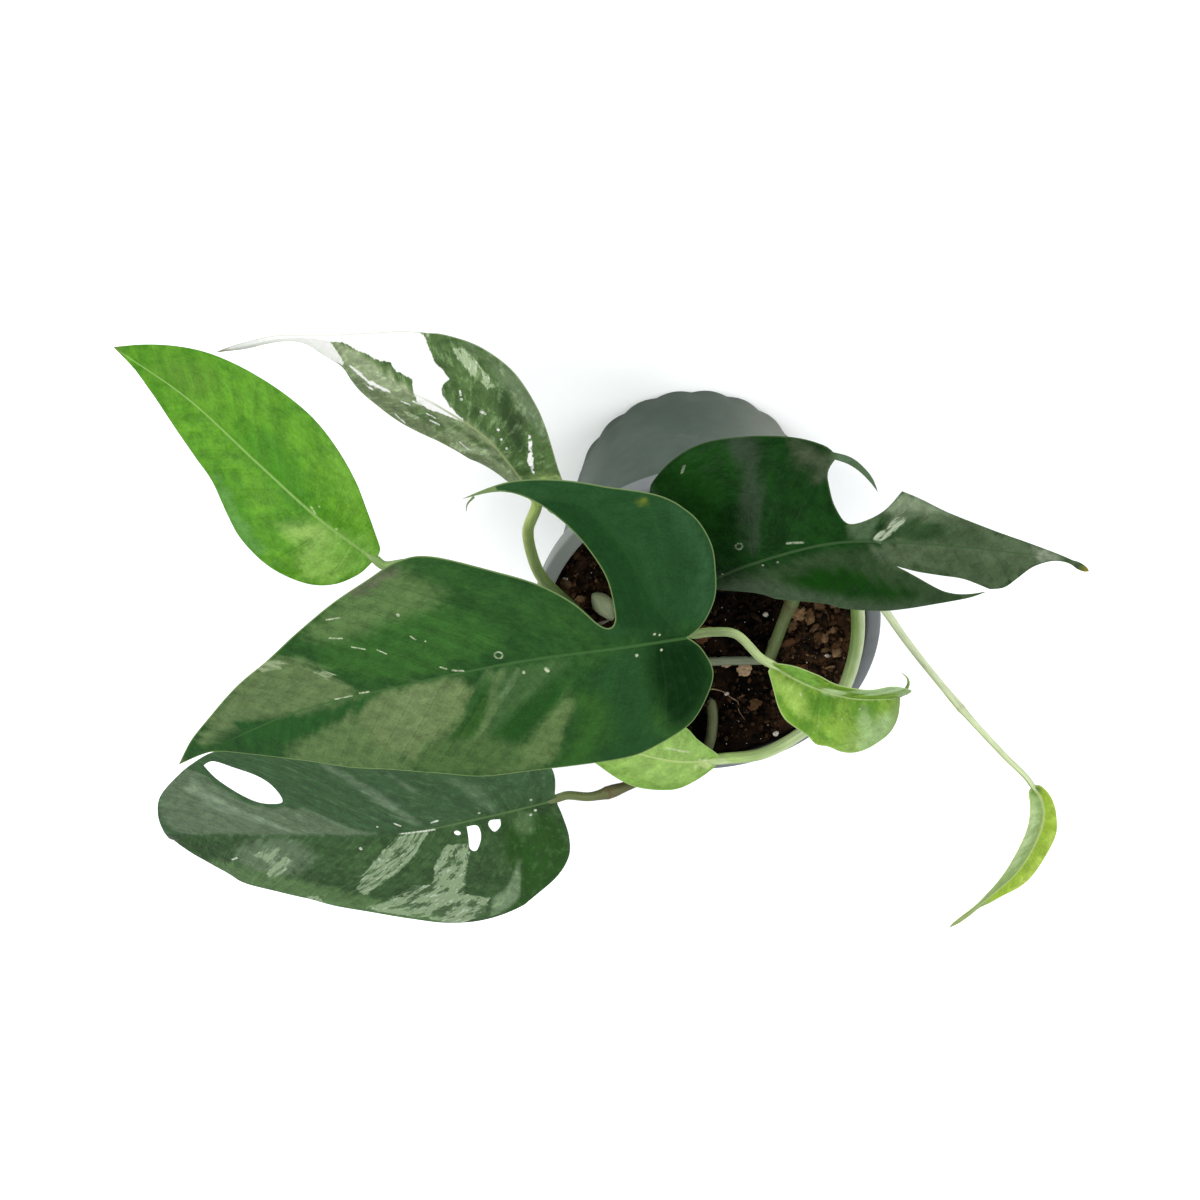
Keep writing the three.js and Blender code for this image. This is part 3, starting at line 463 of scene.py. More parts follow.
            ((84, 108, 78), 3, [[31, -24], [28, -22.5], [20.5, -10], [24.5, -12.5]]),
            ((84, 108, 78), 3, [[25.5, -16.5], [21.5, -2], [24, -3], [27.5, -13.5]]),
            ((86, 116, 70), 5, [[60, 52], [98, 38], [120, 31], [139, 26], [150, 14], [134, 16], [104, 24],
             [84, 30], [62, 42]]),
            ((118, 142, 106), 2, [[25.5, 29], [19, 22], [28, 39.5], [40.5, 47], [48, 50], [41, 41.5],
             [31.5, 34]]),
        ],
        "pale": [
            [[48, 0], [60, 0.5], [69, 7.5], [80, 20], [84, 27], [81.5, 30.5], [74, 24], [65.5, 17.5],
             [57, 10]],
            [[45, 8], [36.5, 10], [42.5, 20.5], [50, 34], [42.5, 38.5], [48, 47.5], [59.5, 50],
             [64, 43.5], [73.5, 41.5], [83.5, 37.5], [74, 33.5], [64, 26], [57.5, 27], [52.5, 15.5]],
            [[124, 10.5], [108.5, 5.5], [111, 10], [117.5, 15.5], [119, 12]],
            [[120.5, 18.5], [109.5, 11], [105.5, 12], [114, 20.5], [120.5, 22.5]],
            [[99, 38], [102, 31.5], [110, 33], [104, 38]],
        ],
        "flecks": [[59, -6, 57.5, -4.5, 0.36], [45, -3.5, 42.5, -3.9, 0.36], [66.5, -5, 0.36],
            [76.5, 6, 0.6], [71, 11.5, 0.42], [27, -3, 0.36], [8.5, -3.5, 0.36], [8, 2, 0.42],
            [10, 3.5, 0.42], [64, 14.5, 0.26], [70, 20, 0.23], [59.5, 0, 46, 0.5, 0.2],
            [134, 13.5, 131, 12.5, 0.23]],
    },
    "leaf_right": {
        "midrib": [[-4, 60, 160], [9, 70, 166], [32, 77, 167], [57, 72, 160], [85, 63, 151],
            [106.6, 55.2, 144.5], [116, 48, 140]],
        "up": [0.1, 0.4, 0.9],
        "fold": [6, -20],
        "curl": [-2, -4],
        "outline": [
            [[0, 0], [1, -4], [12, -11.8], [28.5, -18.7], [47, -23], [62, -24.6], [74.5, -23.5],
             [86, -20.7], [96, -17.5], [100.5, -14.8]],
            [[100.5, -14.8], [95, -16.3], [89, -16.5], [82, -14.8], [65, -8]],
            [[65, -8], [73, -9.6], [82, -10.4], [91, -11], [101.5, -13.6]],
            [[101.5, -13.6], [106, -12.5], [109, -9], [112.5, -4.6], [117, -2], [121, -0.9], [126, -0.7],
             [130.5, -1.2], [134, -0.9], [136, 0]],
            [[136, 0], [134, 0.8], [130, 1.1], [126, 0.8], [120, 1.4], [113, 2.6], [106, 4], [93, 6.5],
             [78, 10], [68, 13.5], [61.6, 15.3]],
            [[61.6, 15.3], [57, 9.5], [51, 6], [46, 5.6], [43, 11], [42, 18], [42.2, 21.5], [43.6, 24.4]],
            [[43.6, 24.4], [46.4, 22.7], [49, 20.4], [51.4, 17.8], [54, 14.8]],
            [[54, 14.8], [52.2, 18.6], [49.6, 22], [46.8, 24.8], [43.4, 26.6]],
            [[43.4, 26.6], [41.5, 29.2], [36, 33], [26, 37], [16, 38.9], [7, 36], [-1, 32], [-8, 24],
             [-10, 14], [-6, 5], [0, 0]],
        ],
        "tones": [
            ((24, 68, 18), 7, [[-2, 30], [1.5, 33.5], [12.5, 39.5], [22, 38], [20, 26], [14, 18], [4, 12]]),
            ((50, 72, 42), 5, [[0, -2], [30, -3], [62, -2], [66, -8], [101, -15], [84, -24], [62, -26],
             [28, -20], [0, -6]]),
            ((66, 84, 60), 4, [[1.5, -4], [17.5, -6.5], [28, -13.5], [57.5, -21.5], [71.5, -22], [83, -21],
             [84, -26], [65.5, -27], [34, -23], [11, -14]]),
            ((13, 58, 3), 5, [[25, -8], [36, -8], [50, -9.5], [60, -13], [76, -18], [65, -20], [42, -17.5],
             [30, -13.5]]),
            ((80, 97, 70), 3, [[54, -1.5], [66, -1.5], [66, -8], [58, -6]]),
            ((84, 101, 72), 6, [[57, 1], [60, 14], [80, 10], [100, 6], [122, 2], [134, 0], [120, -2],
             [109, -8], [101, -14], [82, -10], [64, -8], [62, -2]]),
            ((64, 84, 54), 4, [[64.5, 5], [79, 6], [97, 3], [93, 0.5], [73.5, 0.5], [65, 0.5]]),
            ((72, 92, 62), 4, [[72, -2], [100, -4], [107, -7], [102, -12], [89, -9.5], [76, -6]]),
            # painted sheen: a pale streak down the lobe
            ((50, 68, 48), 4, [[22.5, 38], [29, 35], [29.5, 28], [27, 21.5], [23.5, 12], [19.5, 4.5],
             [18.5, 5], [20.5, 13.5], [23, 23.5], [24.5, 29.5]]),
            ((48, 74, 41), 2, [[58, 1], [61, 4.5], [66, 7], [72, 7], [78, 5], [76, 2.5], [68, 1]]),
            ((71, 82, 60), 5, [[36, 31.5], [39.5, 30], [43.5, 26], [42.5, 22], [40, 20], [36, 26]]),
            ((84, 108, 82), 1, [[43, 27.5], [44, 24], [54, 14], [55, 15], [48, 25]]),
            ((124, 140, 110), 2, [[61.5, 16], [81, 11], [81, 9.5], [66, 9.5], [58, 8]]),
            ((76, 98, 68), 2, [[46, 5], [55, 8], [54, 1.5], [47.5, 0.5]]),
            # painted sheen near the tip
            ((138, 148, 126), 4, [[110.5, 2], [116.5, 2], [121.5, -0.5], [114, -1.5]]),
        ],
        "pale": [
            [[61.5, 7.5], [64.5, 8], [63.5, 6], [61, 3], [57.5, 0], [55, 0], [54, 3.5], [58.5, 3.5],
             [59, 6]],
        ],
        "flecks": [[29, 3, 33.5, 2, 0.2], [24.5, -2, 0.3], [20, -1.5, 0.26], [6.5, 0.5, 0.26],
            [13.5, 35, 12.6, 33.5, 0.16]],
        "rings": [[16, 6.5, 0.9]],
    },
    "leaf_young": {
        "midrib": [[16, 30, 161], [25, 25, 163], [33, 21, 163], [42, 16, 160], [52, 12.5, 156],
            [60, 9.5, 151]],
        "up": [0, 0.1, 1],
        "fold": [42, 22],
        "curl": [0, 0],
        "outline": [
            [[0, 2], [0, -2]],
            [[0, -2], [4.5, -6.3], [8, -10], [11, -12.4], [14, -13.4], [18.5, -14.6], [22.5, -16.5],
             [26.5, -16.3], [30.5, -17.2], [34, -16.9], [38, -15.4], [43.5, -12.6], [47, -9.6], [49, -5.5],
             [49.2, 0]],
            [[49.2, 0], [48.6, 4], [45.5, 8.8], [41.5, 11.8], [35, 14.5], [28, 11.8], [21.5, 8.6],
             [17.5, 7.8], [12, 9.2], [5.5, 7.3], [0, 2]],
        ],
        "tones": [
            ((150, 184, 82), 4, [[1, -1.5], [7, -1], [13, -2], [15.5, -9], [15, -11.5], [9.5, -8.5]]),
            ((84, 132, 28), 3, [[13, -2], [22.5, -0.5], [25, -5], [18.5, -8]]),
            ((92, 140, 32), 3, [[30, -1.5], [38.5, -0.5], [39.5, -9.5], [34.5, -11], [31, -6.5]]),
            ((88, 138, 30), 2.5, [[5, -6.5], [10, -8.5], [16, -10.5], [19, -14], [14, -13], [9, -10]]),
            ((84, 134, 34), 2.5, [[18.5, -10], [26, -13.5], [32, -16], [28, -15], [22, -13.5]]),
            ((138, 170, 84), 5, [[33, -8], [42, -5], [46, -9], [38, -18], [29, -18]]),
            ((150, 180, 118), 4, [[34, -2], [39.5, -7], [49, -2.5], [48.5, -8], [44, -13.5], [36.5, -16],
             [35, -14.5]]),
            ((125, 175, 70), 2, [[2, 1], [6.5, 8.5], [15, 4.5], [14.5, 0]]),
            ((170, 200, 140), 2, [[23.5, 6], [26.5, 16.5], [39.5, 14], [36, 6]]),
            ((186, 210, 150), 1.5, [[16, 1.5], [23.5, 4.5], [24.5, 0], [18, 0]]),
        ],
        "flecks": [[12, -3.5, 0.26], [28, -7, 0.2], [33, -3, 0.23], [21, -10.5, 0.2]],
        "wisp": [[57.6, 11.4, 152.6], [59.6, 13.4, 151.9], [60.1, 16.3, 152.6], [59.2, 19.2, 153.5],
            [57.6, 21, 154]],
        "wisp_radius": 0.8,
    },
    "leaf_rim": {
        "midrib": [[4, -49, 106], [-10, -46, 110], [-28, -38, 113], [-46, -29, 112], [-62, -20, 108]],
        "up": [0, 0, 1],
        "fold": [4, 4],
        "curl": [-3, -3],
        "outline": [
            [[0, 2.4], [0, -2.4]],
            [[0, -2.4], [3, -5], [9.5, -10], [17, -15], [28, -18.5], [42, -17], [56, -10], [73, 0]],
            [[73, 0], [56, 5.5], [42, 9.5], [32, 12.7], [24, 14], [13.5, 12.5], [7, 8.5], [2.5, 5],
             [0, 2.4]],
        ],
        "tones": [
            ((152, 190, 96), 6, [[4, -6], [8, 8], [30, 8], [34, -6], [20, -12]]),
            ((120, 175, 75), 12, [[46, -14], [73, -4], [73, 4], [46, 9]]),
            ((196, 218, 140), 2, [[7, -1], [1, 0.5], [2.5, 3], [8, 2]]),
        ],
        "flecks": [[22, -5.5, 12, -5, 0.29], [7, -1, 1, 0.5, 0.33], [1, 0.5, 2.5, 1.5, 0.26]],
    },
    "leaf_trailing": {
        "midrib": [[104.5, -29.3, 149.8], [107, -32.6, 150.8], [108.7, -39, 151.2], [108, -49, 151],
            [103.2, -66, 149], [95, -79.5, 146.8], [83, -97, 143]],
        "up": [0, 0, 1],
        "fold": [14, 34],
        "curl": [0, 0],
        "outline": [
            [[0, 2], [0, -2]],
            [[0, -2], [2, -3.5], [8.5, -6], [19, -7.5], [29.5, -8], [40, -7.2], [49, -4.8], [56, -2.8],
             [62, -1.6], [68, -1.7], [72.5, -1.2], [76, 0]],
            [[76, 0], [72, 0.8], [66.5, 1], [61, 0.9], [56, 1.9], [50.5, 2.8], [44, 4.3], [38, 4.9],
             [28.5, 5], [18.5, 5.2], [12.5, 4.2], [5, 3.2], [1, 2.6], [0, 2]],
        ],
        "tones": [
            ((150, 178, 110), 1, [[-2, -0.2], [60, -0.2], [60, -10], [-2, -10]]),
            ((152, 184, 58), 1, [[-2, 0.2], [60, 0.2], [60, 8], [-2, 8]]),
            ((185, 210, 90), 2, [[4, 3.4], [44, 5.4], [60, 2], [44, 3], [16, 3.8]]),
            ((176, 200, 142), 3, [[4, -3], [10, -7], [36, -9], [30, -4]]),
            ((150, 170, 110), 8, [[58, -4], [80, -4], [80, 4], [58, 4]]),
            ((104, 138, 62), 1.5, [[-1, -2], [-1, 2], [2.5, 1.5], [2.5, -1.5]]),
        ],
    },
}

# Each stem: its limbs, with points in space, the radius at the foot and at the end, the leaf that it
# carries, its nodes as [share of its length, extra radius], where a third number makes a plain swelling
# of that width instead, its colours from foot to end as (share, colour), and the colour and side of a
# painted highlight on one flank. joint: see JOINTS. scar: how brown its nodes are, where not fully.
# rounded: its end is a dome.
STEMS = {
    "petiole_left": [{
        "points": [[-37, -26, 84], [-49, -15, 97], [-58, 8, 106], [-78, 32, 115], [-96, 47, 124]],
        "radius": [2, 1.5],
        "leaf": "leaf_left",
        "tint": [(0, (60, 74, 44)), (0.3, (86, 112, 62)), (0.65, (112, 146, 80)), (1, (136, 178, 96))],
        "painted_highlight": ((158, 184, 116), (-0.6, 0.5, 0.6)),
    }],
    "petiole_white": [{
        "points": [[-31, -10, 84], [-37, 0, 95], [-45, 15, 103], [-50.5, 24.5, 108], [-55, 34.5, 113.5],
            [-57.5, 47, 119.5], [-58, 59, 125]],
        "radius": [2.1, 1.7],
        "leaf": "leaf_white",
        "tint": [(0, (52, 66, 38)), (0.35, (74, 98, 52)), (0.6, (120, 146, 74)), (1, (150, 180, 92))],
        "painted_highlight": ((196, 216, 116), (-1, 0, 0.3)),
    }],
    "petiole_top": [{
        "points": [[-14, 16, 84], [-16, 32, 108], [-17, 47, 138], [-16, 55, 165]],
        "radius": [2.6, 1.9],
        "leaf": "leaf_top",
        "joint": "below",
        "tint": [(0, (74, 78, 46)), (0.4, (84, 104, 56)), (1, (92, 128, 70))],
        "painted_highlight": ((140, 160, 96), (-1, 0.3, 0.2)),
    }],
    "petiole_low": [{
        "points": [[2, -32, 84], [3, -41, 93], [0, -50, 99.5], [-8, -54.5, 100.5], [-20, -57.5, 103],
            [-30, -58.5, 108], [-41, -58, 113]],
        "radius": [2.1, 1.5],
        "leaf": "leaf_low",
        "swell": [[0.72, 0.7]],
        "tint": [
            (0, (46, 46, 28)),
            (0.45, (72, 74, 44)),
            (0.66, (88, 80, 52)),
            (0.78, (84, 96, 50)),
            (1, (104, 136, 66)),
        ],
        "painted_highlight": ((110, 118, 76), (0, 0.4, 1)),
    }],
    "petiole_right": [{
        "points": [[0, 18, 84], [-1, 30, 108], [-3, 45, 132], [-4, 56, 148]],
        "radius": [2.4, 1.8],
        "leaf": "leaf_right",
        "joint": "below",
        "tint": [(0, (76, 80, 46)), (0.5, (82, 104, 56)), (1, (74, 106, 56))],
        "painted_highlight": ((104, 120, 70), (1, 0.3, 0.2)),
    }],
    "petiole_young": [{
        "points": [[-8, 6, 84], [-9, 18, 112], [-9, 28, 137], [-7, 35, 150], [-2, 39, 155], [5, 40, 158]],
        "radius": [1.8, 1.3],
        "leaf": "leaf_young",
        "tint": [(0, (96, 112, 60)), (0.5, (120, 150, 78)), (0.8, (154, 184, 100)), (1, (176, 204, 126))],
        "painted_highlight": ((200, 218, 156), (0.2, 0.5, 1)),
    }],
    "vine_right": [{
        "points": [[22, -24, 84], [23, -14, 92], [28, 10, 99], [34, 29, 108], [42, 36, 114]],
        "radius": [2.1, 2],
        "swell": [[0.55, 0.4], [0.97, 0.6]],
        "tint": [(0, (70, 76, 44)), (0.35, (92, 108, 62)), (0.7, (104, 128, 70)), (1, (122, 146, 82))],
        "painted_highlight": ((118, 134, 82), (-0.8, 0.2, 0.6)),
    }, {
        "points": [[-16, -17, 84], [-4, -17, 90], [8, -16.5, 91], [22.5, -17, 90.5]],
        "radius": [1.6, 1.6],
        "tint": [(0, (92, 98, 76)), (1, (108, 118, 92))],
        "painted_highlight": ((136, 144, 118), (0, 0.4, 1)),
    }, {
        "points": [[39, 34, 112], [47, 25.5, 109], [50.5, 11, 104.5], [50.7, -6, 103.2],
            [46.2, -24, 103.2], [35, -37.8, 103.7], [20, -47.2, 104.7]],
        "radius": [2.5, 2],
        "leaf": "leaf_rim",
        "tint": [
            (0, (112, 138, 72)),
            (0.25, (132, 162, 84)),
            (0.45, (158, 182, 118)),
            (0.62, (182, 198, 150)),
            (0.85, (168, 194, 122)),
            (1, (170, 202, 110)),
        ],
        "painted_highlight": ((212, 225, 182), (1, -0.3, 0.3)),
    }, {
        "points": [[41, 35.5, 113.5], [50, 32, 119], [57, 22.7, 122], [64.6, 12.8, 127], [80, -4.7, 136],
            [95, -19.6, 144.5]],
        "radius": [1.4, 0.95],
        "leaf": "leaf_trailing",
        "swell": [[0.6, 0.25]],
        "scar": 0.4,
        "tint": [
            (0, (190, 206, 150)),
            (0.3, (196, 212, 162)),
            (0.62, (184, 202, 138)),
            (0.9, (164, 188, 106)),
            (1, (128, 158, 76)),
        ],
        "painted_highlight": ((220, 230, 190), (0.4, 0.4, 0.8)),
    }],
    "bud": [{
        "points": [[-31, -2, 82], [-32.5, 3, 90], [-34.5, 9, 93.5], [-37, 13.5, 95], [-38.6, 15.5, 95.4]],
        "radius": [1.6, 1.4],
        "swell": [[0.74, 2, 0.24]],
        "rounded": True,
        "tint": [(0, (120, 130, 90)), (0.5, (146, 160, 118)), (1, (160, 174, 130))],
        "painted_highlight": ((186, 198, 158), (-0.3, 0.3, 1)),
    }],
}

# Pieces of bark and perlite that the photo shows in the soil: [x, y, length, turn in degrees], by colour.
CHIPS = {
    (150, 118, 84): [[32.6, 2, 5.5, 20], [-42.8, 10.4, 3.4, 0]],
    (122, 96, 66): [[36.4, 0.7, 4.5, 80], [41.5, -8, 3.2, 120], [44.5, -4, 2.8, 10]],
    (104, 80, 54): [[38, -3.5, 4, 40], [42.5, -12.5, 3.5, 160], [30.5, -2.5, 4, 70], [39, 5.5, 4.5, 20]],
    (84, 60, 38): [[45.5, -10, 5, 70], [39.8, -7.3, 4, 10], [-17.3, 8.8, 5, 140], [18, -36, 5, 30]],
    (176, 150, 118): [[14.1, -20.1, 5.5, 120], [8.1, -17.8, 4.5, 20], [-24, -33, 5, 60]],
    (92, 62, 40): [[-0.7, -4.9, 7, 40], [33.4, -20.7, 6, 150], [-6, -28, 6, 100], [29, -9, 5, 0]],
    (206, 198, 186): [[-47.7, 18.6, 2, 0], [20.9, 2.8, 1.8, 0], [42.9, -14.6, 2, 0], [8, -30.3, 1.6, 0],
        [25.4, -45.3, 2, 0]],
}

# Fine dry roots that lie on the soil: points as [x, y], radius and colour.
ROOTS = [
    ([[-0.5, -33.1], [-0.5, -30.5], [2, -28.4], [6.2, -28.9], [9.8, -32.1], [11.9, -33.5], [12.3, -37.4],
     [14.6, -41.9]], 0.28, (150, 128, 98)),
    ([[-36.9, 0.8], [-34.4, 1.9], [-32, 3.1]], 0.9, (132, 130, 112)),
    ([[24, -30], [29, -27], [33, -29], [38, -26]], 0.3, (126, 96, 66)),
    ([[38, 8], [42, 3], [43, -3]], 0.25, (96, 70, 46)),
    ([[27, -1], [24, -4.5], [23.5, -8]], 0.3, (96, 94, 70)),
    ([[26, -4], [22.5, -8], [22, -12.5]], 0.35, (112, 116, 92)),
    ([[26, -7], [25, -11], [21.5, -14.5]], 0.3, (150, 152, 128)),
    ([[27, -6], [28.5, -10], [26, -14]], 0.25, (70, 62, 42)),
]

# Loose grains strewn over the soil: how many of each kind, the least and the greatest size, how flat they
# are, how far up they lie as a share of their height, how finely they are made, and their colours.
GRAINS = {
    "peat": {
        "count": 3600, "sizes": (0.7, 3.0), "flat": 0.8, "lift": 0.25, "detail": 1,
        "paints": [(28, 20, 12), (44, 31, 19), (64, 46, 31), (14, 10, 6), (9, 6, 4)],
    },
    "bark": {
        "count": 45, "sizes": (2.0, 5.5), "flat": 0.35, "lift": 0.4, "detail": 2,
        "paints": [(86, 62, 40), (104, 80, 54), (66, 46, 30), (124, 98, 70)],
    },
    # pale specks: perlite grains, and in part painted glints on the moist peat
    "perlite_and_glints": {
        "count": 420, "sizes": (0.25, 0.75), "flat": 0.9, "lift": 0.9, "detail": 1,
        "paints": [(204, 198, 188), (176, 168, 154), (120, 112, 100), (96, 84, 72)],
    },
}


class Graph:
    """A material's nodes, put together by calls that read like sums. A socket stands for a value."""

    def __init__(self, name):
        self.material = bpy.data.materials.new(name)
        self.material.use_nodes = True
        self.tree = self.material.node_tree
        self.tree.nodes.clear()

    def node(self, kind, inputs, **settings):
        made = self.tree.nodes.new("ShaderNode" + kind)
        for key, value in settings.items():
            setattr(made, key, value)
        for key, value in inputs.items():
            if isinstance(value, bpy.types.NodeSocket):
                self.tree.links.new(value, made.inputs[key])
            else:
                made.inputs[key].default_value = value
        return made

    def math(self, operation, a, b=0.0):
        return self.node("Math", {0: a, 1: b}, operation=operation).outputs[0]

    def add(self, a, b):
        return self.math("ADD", a, b)

    def times(self, a, b):
        return self.math("MULTIPLY", a, b)

    def step(self, value, low, high, bottom=0.0, top=1.0):
        """Smoothly from bottom to top as value goes from low to high."""
        inputs = {0: value, 1: low, 2: high, 3: bottom, 4: top}
        return self.node("MapRange", inputs, interpolation_type="SMOOTHSTEP").outputs[0]

    def centred(self, noise_value, size):
        """A noise about nought, size from end to end."""
        return self.times(self.add(noise_value, -0.5), size)

    def mix(self, share, a, b):
        return self.node("Mix", {0: share, 6: a, 7: b}, data_type="RGBA").outputs[2]

    def shade(self, colour, factor):
        return self.node("VectorMath", {0: colour, 3: factor}, operation="SCALE").outputs[0]

    def noise(self, place, scale, detail=3.0, roughness=0.55):
        inputs = {"Vector": place, "Scale": scale, "Detail": detail, "Roughness": roughness}
        return self.node("TexNoise", inputs).outputs["Fac"]

    def attribute(self, name, output="Vector"):
        return self.node("Attribute", {}, attribute_name=name).outputs[output]

    def place(self):
        return self.node("TexCoord", {}).outputs["Object"]

    def parts(self, vector):
        return self.node("SeparateXYZ", {0: vector}).outputs

    def vector(self, x, y, z):
        return self.node("CombineXYZ", {0: x, 1: y, 2: z}).outputs[0]

    def bump(self, height, distance, normal=None):
        inputs = {"Height": height, "Distance": distance, "Strength": 1.0}
        if normal is not None:
            inputs["Normal"] = normal
        return self.node("Bump", inputs).outputs[0]

    def finish(self, colour, roughness, normal, specular):
        inputs = {"Base Color": colour, "Roughness": roughness, "Normal": normal}
        inputs["Specular IOR Level"] = specular
        shader = self.node("BsdfPrincipled", inputs)
        output = self.node("OutputMaterial", {"Surface": shader.outputs[0]})
        output.is_active_output = True
        return self.material


def blade_fields(g):
    """What a leaf's mesh tells its shader at each point, with the noises that the greens and marks share.
    start is where on the midrib the side vein through the point begins, out how far the point lies from
    the midrib, and half what keeps the noises of the two halves apart."""
    skin = SimpleNamespace()
    skin.place = g.attribute("place")
    skin.along, skin.across, skin.margin = g.parts(skin.place)
    skin.start, skin.out, skin.half = g.parts(g.attribute("veins"))
    skin.white, skin.pale, skin.ribs = g.parts(g.attribute("marks"))
    skin.fleck, skin.ring, skin.spot = g.parts(g.attribute("details"))
    streaks = g.vector(skin.start, g.times(skin.out, 0.24), skin.half)
    skin.long_noise = g.noise(streaks, 0.42, 5.0, 0.6)
    skin.fine_noise = g.noise(streaks, 1.5, 4.0, 0.65)
    skin.mottle = g.noise(skin.place, 0.22, 6.0, 0.62)
    skin.speckle = g.noise(skin.place, 1.1, 3.0, 0.6)
    ragged = g.add(g.centred(skin.long_noise, 6.0), g.centred(skin.fine_noise, 3.0))
    skin.ragged = g.add(ragged, g.centred(skin.mottle, 4.0))
    fade = g.times(g.step(skin.out, 1.0, 4.0), g.step(skin.margin, 0.5, 5.0))
    skin.fade = g.times(fade, g.step(skin.white, -0.3, 0.2, 1.0, 0.1))
    return skin


def blade_greens(g, skin, look):
    """A leaf's own cloudy greens, its listed tones over them, marbled, with painted light and shade on the
    two flanks of each side vein.
    """
    tone = g.attribute("tone", "Color")
    cover = g.attribute("tone", "Alpha")
    cloud = g.noise(skin.place, 0.045, 4.0, 0.6)
    greens = g.add(g.times(cloud, 0.55), g.times(skin.mottle, 0.45))
    colour = g.mix(g.step(greens, 0.36, 0.64), look["deep"], look["fresh"])
    blend = g.times(g.times(cover, g.math("SUBTRACT", 1.0, cover)), skin.ragged)
    cover = g.add(cover, g.times(blend, g.step(skin.out, 0.5, 3.5, 0.1, 0.8)))
    cover = g.times(cover, g.step(skin.mottle, 0.35, 0.6, 0.82, 1.0))
    colour = g.mix(g.math("MINIMUM", g.math("MAXIMUM", cover, 0.0), 1.0), colour, tone)

    marbling = g.noise(g.vector(skin.start, g.times(skin.out, 0.4), skin.half), 0.6, 7.0, 0.7)
    marbling = g.times(g.step(marbling, 0.5, 0.64), look["marble"])
    colour = g.mix(g.times(marbling, 0.6 * look["marble"]), colour, look["pale"])
    shade = g.add(g.step(skin.long_noise, 0.3, 0.7, 0.94, 1.06), g.step(skin.mottle, 0.3, 0.7, -0.11, 0.11))
    shade = g.add(shade, g.step(skin.speckle, 0.3, 0.7, -0.1, 0.1))
    shade = g.add(shade, g.times(marbling, 0.9))
    # painted light and shade: one flank of each side vein lighter and the other darker, as the relief would
    # be lit
    painted_vein_shade = g.math("SINE", g.times(skin.start, 2 * math.pi / VEIN_STEP))
    shade = g.add(shade, g.times(g.times(painted_vein_shade, skin.fade), look["veins"]))
    return g.shade(colour, shade)


def blade_patches(g, skin, look, colour):
    """The pale and white patches over the greens, with torn edges and green holes in the pale ones."""
    holes = g.noise(g.vector(skin.start, g.times(skin.out, 0.35), skin.half), 0.45, 6.0, 0.72)
    pale_share = g.step(g.add(skin.pale, g.times(skin.ragged, 0.55)), -0.3, 0.5, 0.0, 0.9)
    pale_share = g.times(pale_share, g.step(holes, 0.5, 0.56, 1.0, 0.12))
    colour = g.mix(pale_share, colour, look["pale"])
    grains = g.times(g.step(skin.fine_noise, 0.55, 0.66, 0.0, 0.6), pale_share)
    colour = g.mix(grains, colour, look["white"])
    white_share = g.step(g.add(skin.white, g.times(skin.ragged, 0.3)), -0.15, 0.25)
    cream = g.mix(g.step(skin.long_noise, 0.5, 0.8, 0.0, 0.2), look["white"], look["pale"])
    return g.mix(white_share, colour, cream)


def blade_ribs(g, skin, look, length, under, colour):
    """The midrib, the side ribs of lobes and the veins. The veins are faint above and clear below. The side
    ribs of lobes are painted dark, as painted shade in their grooves.
    """
    rib_width = g.step(skin.along, 0.0, length, 0.5, 0.2)
    reach = g.math("ABSOLUTE", skin.across)
    rib = g.step(reach, g.times(rib_width, 1.2), g.times(rib_width, 0.7))
    rib_end = look["rib_end"] * length
    beyond = 0.75 if rib_end >= length else 0.08
    rib = g.times(rib, g.step(skin.along, rib_end - 18.0, rib_end, 0.75, beyond))
    wave = g.math("PINGPONG", g.times(skin.start, 1.0 / VEIN_STEP), 0.5)
    small_wave = g.math("PINGPONG", g.times(skin.start, SMALL_VEINS / VEIN_STEP), 0.5)
    vein = g.times(g.step(wave, 0.05, 0.0), skin.fade)
    small_vein = g.times(g.step(small_wave, 0.16, 0.0), skin.fade)
    colour = g.mix(g.times(vein, 0.5 if under else 0.04), colour, look["rib"])
    colour = g.mix(g.times(small_vein, 0.16 if under else 0.04), colour, look["rib"])
    colour = g.mix(rib, colour, look["rib"])
    # painted shade: the side ribs of lobes darkened, as their grooves would be shaded
    colour = g.mix(g.step(skin.ribs, 0.8, 0.2, 0.0, 0.6), colour, look["deep"])
    relief = g.times(vein, 0.5 if under else -0.5)
    relief = g.add(relief, g.times(small_vein, 0.15 if under else -0.12))
    return colour, relief


def blade_details(g, skin, look, length, colour):
    """Crisp flecks and rings, yellow spots, the thin light margin, which is in part a painted highlight on
    the edge, and the dry tip.
    """
    dots = g.add(g.times(skin.fleck, look["flecks"]), g.times(skin.ring, look["flecks"]))
    dots = g.times(dots, g.step(skin.speckle, 0.4, 0.58, 0.35, 1.0))
    colour = g.mix(dots, colour, look["white"])
    yellow = g.times(skin.spot, g.step(skin.mottle, 0.3, 0.6, 0.3, 0.8))
    colour = g.mix(yellow, colour, srgb(140, 150, 50))
    # the thin light margin: a pale rim that is in part a painted highlight where the edge catches light
    colour = g.mix(g.step(skin.margin, 0.45, 0.12, 0.0, 0.55), colour, look["edge"])
    tip = g.step(g.add(skin.along, g.times(skin.ragged, 0.5)), length - 6.0, length - 1.0, 0.0, 0.8)
    return g.mix(tip, colour, look["tip"])


